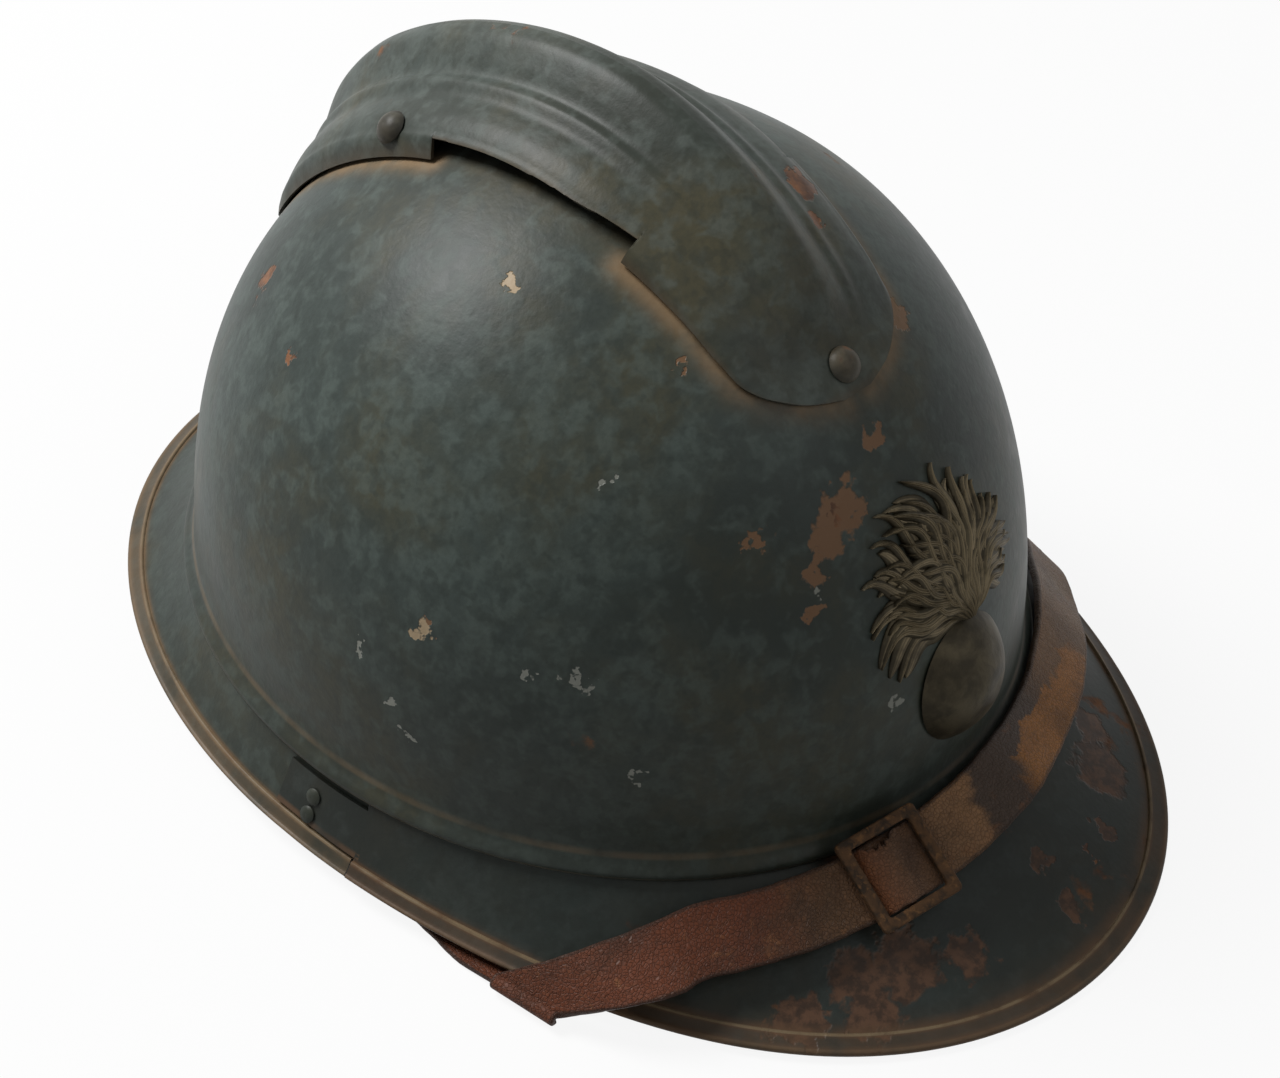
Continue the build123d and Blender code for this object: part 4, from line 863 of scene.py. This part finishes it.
# The second layer: the strap's own end, turned back under it behind the slider's middle bar.
slider_turn, bar_width, slider_clearance = -11.0, 2.8, 0.3
layer_end = slider_turn - math.degrees((bar_width / 2 + slider_clearance) / strap_radius)
layer_top = -strap_thickness / 2 - slider_clearance
layer_points, layer_turn, layer_edge, _ = leather_band(
    [cone_slice(t, 15.0, layer_top, layer_top - 1.5) for t in np.linspace(layer_end - 13, layer_end, 6)], 0.5, 1.3)
layer = lay("strap_second_layer", [layer_points], wrap_columns=True, capped=True, crease=60,
            turn=[layer_turn], edge=[layer_edge])
shown(strap_leather, layer)
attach(layer, "slider")
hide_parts("strap_under_layer")


# The slider: a flat frame of iron stamped in one piece, with a bar across its middle that dips under the
# strap. Its corners are rounded a little and it is rusted all over.
slider_centre = cone_point(slider_turn, strap_width / 2, 0)
slider_across = cone_point(slider_turn, strap_width, 0) - slider_centre
slider_across /= np.linalg.norm(slider_across)
slider_above = cone_point(slider_turn, strap_width / 2, 1) - slider_centre
slider_above /= np.linalg.norm(slider_above)
slider_along = np.cross(slider_across, slider_above)
slider_across = np.cross(slider_above, slider_along)


def in_slider(along, across, above):
    """A point by its distances along the strap, across it and above it from the slider's centre."""
    return (slider_centre + along[..., None] * slider_along + across[..., None] * slider_across
            + above[..., None] * slider_above)


def rounded_frame(half_length, half_width, radius):
    """A closed outline in plan: four quarter circles joined by straight sides, from even steps of each."""
    bend = np.radians(np.linspace(0, 90, 7))
    x, y = [], []
    for i, (sx, sy) in enumerate(((1, 1), (-1, 1), (-1, -1), (1, -1))):
        a = bend + i * math.pi / 2
        x.append(sx * (half_length - radius) + radius * np.cos(a))
        y.append(sy * (half_width - radius) + radius * np.sin(a))
    return np.concatenate(x), np.concatenate(y)


bar_p, bar_q = [], []
for sx, sy, first in ((1, 1, 0), (0, 1, 90), (0, 0, 180), (1, 0, 270)):
    turn_in = np.radians(first + np.linspace(0, 90, 5))
    bar_p += list(sx + (0.14 if sx == 0 else -0.14) + 0.14 * np.cos(turn_in))
    bar_q += list(sy + (0.26 if sy == 0 else -0.26) + 0.26 * np.sin(turn_in))
bar_p, bar_q = np.array(bar_p)[None, :], np.array(bar_q)[None, :]
frame_half_length, frame_half_width, window_half_width, frame_foot, frame_thickness = 10.7, 11.0, 8.4, 1.3, 1.5
outer_x, outer_y = rounded_frame(frame_half_length, frame_half_width, 1.2)
inner_x, inner_y = rounded_frame(frame_half_length - bar_width, window_half_width, 0.7)
wobble = 0.12 * np.sin(np.arange(28) * 1.7)[:, None]
frame_grid = in_slider(inner_x[:, None] * (1 - bar_p) + outer_x[:, None] * bar_p,
                       inner_y[:, None] * (1 - bar_p) + outer_y[:, None] * bar_p,
                       frame_foot + frame_thickness * bar_q + wobble * (bar_p - 0.5))


def unit_ways(line):
    """The direction of a flat line at each of its points."""
    way = np.gradient(line, axis=0)
    return way / np.linalg.norm(way, axis=1, keepdims=True)


dip = through(np.linspace(0, 14, 85), np.arange(15), [
    (-9.9, 1.9), (-9.6, 1.2), (-9.2, 0.2), (-9.1, -0.9), (-8.9, -1.55), (-8.3, -1.82), (-6, -1.85), (0, -1.87),
    (6, -1.85), (8.3, -1.82), (8.9, -1.55), (9.1, -0.9), (9.2, 0.2), (9.6, 1.2), (9.9, 1.9)])
way = unit_ways(dip)
middle_width, middle_thickness = 2.6, 0.9
bar_x = (bar_p - 0.5) * middle_width + 0 * dip[:, :1]
bar_y = dip[:, :1] - way[:, 1:] * (bar_q - 0.5) * middle_thickness
bar_z = dip[:, 1:] + way[:, :1] * (bar_q - 0.5) * middle_thickness
slider = lay("slider_frame", [frame_grid], wrap_rows=True, wrap_columns=True, crease=55)
slider_bar = lay("slider_middle_bar", [in_slider(bar_x, bar_y, bar_z)], wrap_columns=True, capped=True, crease=55)
rusted, shader, place = shading("rusted_iron", 0.2, 0.7, 0.12)
scale = mottle(place, 3.0, 6.0, (0.1, 0.5, 0.5), 0.3)
colour = tinted(stepped(scale, 0.35, 0.62), (0.022, 0.015, 0.01, 1), (0.07, 0.037, 0.018, 1))
blotches = stepped(mottle(place, 1.5, 3.0, (0.7, 0.5, 0.2)), 0.52, 0.7, 0.0, 0.8)
coated(shader, tinted(blotches, colour, (0.13, 0.066, 0.028, 1)), None, (0.7, 0.0003, scale))

# The strap's torn end, which fills the slider's window: its upper edge is torn back in the middle, and it
# rises to a low hump between the frame's ends.
tuck_first, tuck_last, tuck_steps = -8.6, 7.0, 16
tuck_edge, tuck_width, tuck_thickness = -7.9, 15.7, 1.1
tuck_x = np.linspace(tuck_first, tuck_last, 40)[:, None]
tuck_rise = through(tuck_x[:, 0], [tuck_first, -7.6, -5.5, -2.5, 1.0, 4.0, 5.8, 6.7, tuck_last],
                    [1.15, 1.35, 2.0, 2.7, 2.95, 2.8, 2.2, 1.3, 0.9])[:, None]
ragged = 1.9 + 0.5 * np.sin(tuck_x * 3.1) + 0.35 * np.sin(tuck_x * 7.3)
tear = np.maximum(0, 1 - ((tuck_x - 1.5) / 4.5) ** 2) * ragged
tear = np.maximum(tear, 0.15 + 0.1 * np.sin(tuck_x * 2.0))
tuck_p = np.concatenate([np.linspace(0, 1, tuck_steps), np.linspace(1, 0, tuck_steps)])[None, :]
tuck_y = (tuck_edge + tear) + (tuck_width - tear + 0.12 * np.sin(tuck_x * 1.3)) * tuck_p
back = np.concatenate([np.zeros(tuck_steps), np.ones(tuck_steps)])[None, :]
near_edge = 0.22 * np.maximum(0, 1 - np.minimum(tuck_p, 1 - tuck_p) / 0.06) ** 2
tuck_z = tuck_rise - near_edge * (1 - 2 * back) - tuck_thickness * back + 0.1 * np.sin(tuck_y * 0.9 + tuck_x)
tuck = lay("strap_end_in_slider", [in_slider(tuck_x + 0 * tuck_y, tuck_y, tuck_z)], wrap_columns=True, capped=True,
           crease=60, turn=[0 * tuck_y + 0.5 * (tuck_x - tuck_first) / (tuck_last - tuck_first)],
           edge=[np.abs(tuck_p - 0.5) * 2 + 0 * tuck_y], across=[0 * tuck_y])
tuck_leather = old_leather("strap_end_leather", [
    (0.0, (0.07, 0.036, 0.018, 1)), (0.25, (0.11, 0.058, 0.032, 1)), (0.42, (0.12, 0.05, 0.024, 1)),
    (0.5, (0.16, 0.06, 0.026, 1))])
shown(tuck_leather, tuck)
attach(tuck, "slider")
for piece in (slider, slider_bar):
    shown(rusted, piece)
    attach(piece, "slider")
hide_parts("slider_buckle")


# The rings and lugs: a lug riveted under each side of the brim, a wire ring that swings in it, and a loop of
# leather round the ring's lower bar, folded double.
steel, shader, place = shading("dull_steel", 0.75, 0.5)
scale = mottle(place, 4.0, 6.0, (0.6, 0.1, 0.3), 0.2)
coated(shader, tinted(stepped(scale, 0.4, 0.62), (0.16, 0.15, 0.14, 1), (0.09, 0.05, 0.03, 1)),
       scaled(scale, 0.4, 0.25), (0.4, 0.0002, scale))
for node in ("strap_lug_left", "strap_lug_right", "strap_ring_left", "strap_ring_right"):
    shown(steel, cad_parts[node])
lug_turn, lug_share, hinge_x, hinge_drop, ring_drop = 88.0, 0.2, 90.8, 4.9, 7.6
hinge_y = float(brim_point(np.array(lug_turn), np.array(lug_share), 0.0)[1])
loop_line = through(np.linspace(0, 12, 61), np.arange(13), [
    (-1.0, -4.0), (-1.1, -3.4), (-1.5, -2.4), (-2.05, -1.2), (-2.2, 0.0), (-1.55, 1.55), (0, 2.2), (1.55, 1.55),
    (2.2, 0.0), (2.05, -1.2), (1.5, -2.4), (1.1, -3.4), (1.0, -4.0)])
loop_ways = unit_ways(loop_line)
loop_half_width, loop_half_thickness = 7, 0.75
for side, name in ((-1, "right"), (1, "left")):
    centre = np.array([side * hinge_x, hinge_y, base_z - hinge_drop - ring_drop])
    slices = [[centre + (x - z_way * face, edge * loop_half_width, z + x_way * face) for face, edge in (
        (loop_half_thickness, -1), (loop_half_thickness, 1), (-loop_half_thickness, 1), (-loop_half_thickness, -1))]
        for (x, z), (x_way, z_way) in zip(loop_line, loop_ways)]
    loop_points, loop_turn, loop_edge, _ = leather_band(slices, 0.4, 0.4)
    loop = lay("ring_loop_" + name, [loop_points], wrap_columns=True, capped=True, crease=60,
               turn=[loop_turn * 0], edge=[loop_edge])
    shown(strap_leather, loop)
    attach(loop, name + "_ring")
    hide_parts("strap_loop_" + name)


# The lining: a ring of felt and a leather sweat band, held off the steel by corrugated aluminium and joined by
# tin clips. Seven leather leaves rise from the band, and a cotton lace draws their tips together.
felt_offset, felt_foot, felt_height, felt_thickness = 7.5, 5.0, 30.0, 2.2
band_offset, band_foot, band_height, band_thickness = 10.0, 1.5, 42.0, 1.6
leaf_count, leaf_half, leaf_sink, lace_radius, lace_height = 7, 0.7, 5.0, 21.0, 88.0


def wall_ring(bottom, height, offset, thickness, ripple):
    """A level ring that follows the skull's base outline at an offset inwards, with rounded edges and a slight
    ripple round it."""
    round_turns = np.arange(0, 360, 1.5)
    half = thickness / 2
    edge = np.radians(np.linspace(0, 180, 7))
    section = [(half * (1 - math.cos(a)), height - half + half * math.sin(a)) for a in edge]
    section += [(thickness, h) for h in np.linspace(height - half, half, 14)[1:-1]]
    section += [(half * (1 + math.cos(a)), half - half * math.sin(a)) for a in edge]
    section += [(0.0, h) for h in np.linspace(half, height - half, 14)[1:-1]]
    point, outward = brim_base(round_turns)
    wave = ripple * (np.sin(np.radians(round_turns * 7)) + 0.5 * np.sin(np.radians(round_turns * 19 + 40)))
    return np.array([point - outward * (offset + inset + wave * h / height)[:, None] + (0, 0, bottom + h)
                     for inset, h in section])


felt = lay("felt_ring", [wall_ring(felt_foot, felt_height, felt_offset, felt_thickness, 0.1)],
           wrap_rows=True, wrap_columns=True, crease=70)
band = lay("sweat_band", [wall_ring(band_foot, band_height, band_offset, band_thickness, 0.12)],
           wrap_rows=True, wrap_columns=True, crease=70)


def leaf_point(turn, share, depth):
    """The leaves' dome: from the band at 0 it leans in and rises as a quarter round to the lace at 1."""
    point, outward = brim_base(turn)
    root = point - outward * (band_offset + band_thickness + clearance + leaf_half)
    spread = np.hypot(root[..., 0], root[..., 1])
    root_z = base_z + band_foot + band_height - leaf_sink
    bend = share * math.pi / 2
    lean = 0.35 * share + 0.65 * (1 - np.cos(bend))
    rise = 0.25 * share + 0.75 * np.sin(bend)
    radius = spread + (lace_radius - spread) * lean - depth * np.cos(bend)
    height = root_z + (base_z + lace_height - root_z) * rise - depth * np.sin(bend)
    return np.stack([root[..., 0] / spread * radius, root[..., 1] / spread * radius, height], axis=-1)


def round_lace(turn, radius, angle):
    """A point round the lace's line: at a turn, a distance from the line and an angle about it."""
    reach = lace_radius + radius * np.cos(angle)
    return np.stack([reach * np.sin(turn), -reach * np.cos(turn),
                     base_z + lace_height + radius * np.sin(angle) + 0 * turn], axis=-1)


leaf_grids, casing_grids, leaf_borders, casing_borders = [], [], [], []
leaf_shares = np.linspace(0, 0.985, 26)[:, None]
leaf_widths = through(leaf_shares[:, 0], [0.0, 0.2, 0.42, 0.64, 0.84, 1.0], [1.0, 0.98, 0.9, 0.78, 0.66, 0.6])
half_leaf, half_casing = 180 / leaf_count - 2, 13.5
j = np.linspace(-1, 1, 15)[None, :]
rounded = leaf_half * np.sqrt(np.maximum(1 - np.abs(j) ** 10, 0.03))
ring = np.radians(np.arange(0, 360, 24))[None, :]
for turn in np.arange(leaf_count) * 360 / leaf_count:
    leaf_turns = turn + half_leaf * leaf_widths[:, None] * j
    shares = leaf_shares + 0 * j
    leaf_grids.append(np.concatenate([leaf_point(leaf_turns, shares, -rounded),
                                      leaf_point(leaf_turns, shares, rounded)[:, ::-1]], axis=1))
    leaf_borders.append(np.concatenate([np.abs(j), np.abs(j)], axis=1) + 0 * leaf_shares)
    tube_turns = np.radians(np.linspace(turn - half_casing, turn + half_casing, 22))[:, None]
    tubes = [round_lace(tube_turns, radius, ring * way) for radius, way in ((2.4, 1), (1.55, -1))]
    casing_grids.append(np.concatenate([tubes[0], tubes[1][::-1, ::-1]], axis=0))
    casing_borders.append(np.zeros(casing_grids[-1].shape[:2]))
leaves = lay("lining_leaves", leaf_grids, wrap_columns=True, capped=True, crease=70, edge=leaf_borders)
casings = lay("leaf_casings", casing_grids, wrap_rows=True, wrap_columns=True, crease=70, edge=casing_borders)
strands, strand_offset, strand_radius = [], 0.56, 0.6
line_turn = np.radians(np.arange(0, 360, 2.5))[:, None]
ring = np.radians(np.arange(0, 360, 45))[None, :]
for phase in (0, 120, 240):
    twist = line_turn * 26 + math.radians(phase)
    reach = lace_radius + strand_offset * np.cos(twist) + strand_radius * np.cos(ring)
    rise = strand_offset * np.sin(twist) + strand_radius * np.sin(ring)
    strands.append(np.stack([reach * np.sin(line_turn), -reach * np.cos(line_turn), base_z + lace_height + rise],
                            axis=-1))
lace = lay("crown_lace_cord", strands, wrap_rows=True, wrap_columns=True, crease=80)
liner_leather = old_leather("liner_leather", [(0.0, (0.11, 0.062, 0.036, 1)), (1.0, (0.085, 0.05, 0.032, 1))],
                            (0.17, 0.1, 0.055, 1), (0.035, 0.022, 0.016, 1), 0.6)


def fibres(name, light, dark, size):
    """Matted or spun fibre: fine stretched noise in two tones with a soft rough face."""
    material, shader, place = shading(name, 0.0, 0.95)
    shader.inputs["Sheen Weight"].default_value = 0.25
    fluff = mottle(place, size, 8.0, (0.3, 0.2, 0.6), 1.5)
    coated(shader, tinted(stepped(fluff, 0.38, 0.64), dark, light), None, (0.6, 0.0004, fluff))
    return material


felt_grey = fibres("felt_grey", (0.1, 0.1, 0.09, 1), (0.035, 0.034, 0.03, 1), 3.0)
cotton = fibres("cotton_thread", (0.42, 0.36, 0.26, 1), (0.2, 0.16, 0.1, 1), 0.8)
aluminium, shader, place = shading("dull_aluminium", 0.9, 0.42)
film = mottle(place, 6.0, 5.0, (0.1, 0.1, 0.7), 0.3)
coated(shader, tinted(stepped(film, 0.35, 0.65), (0.5, 0.5, 0.49, 1), (0.3, 0.29, 0.27, 1)), scaled(film, 0.4, 0.22))
for node in ("spacer_front", "spacer_rear", "spacer_left", "spacer_right", "liner_clips"):
    shown(aluminium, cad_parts[node])
for piece, material, node, slot in (
        (felt, felt_grey, "felt_band", "felt"), (band, liner_leather, "liner_band", "liner_leather"),
        (leaves, liner_leather, "liner_tongues", "liner_leather"), (casings, liner_leather, None, "liner_leather"),
        (lace, cotton, "crown_lace", "cotton")):
    shown(material, piece)
    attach(piece, "helmet")
    if node:
        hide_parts(node)
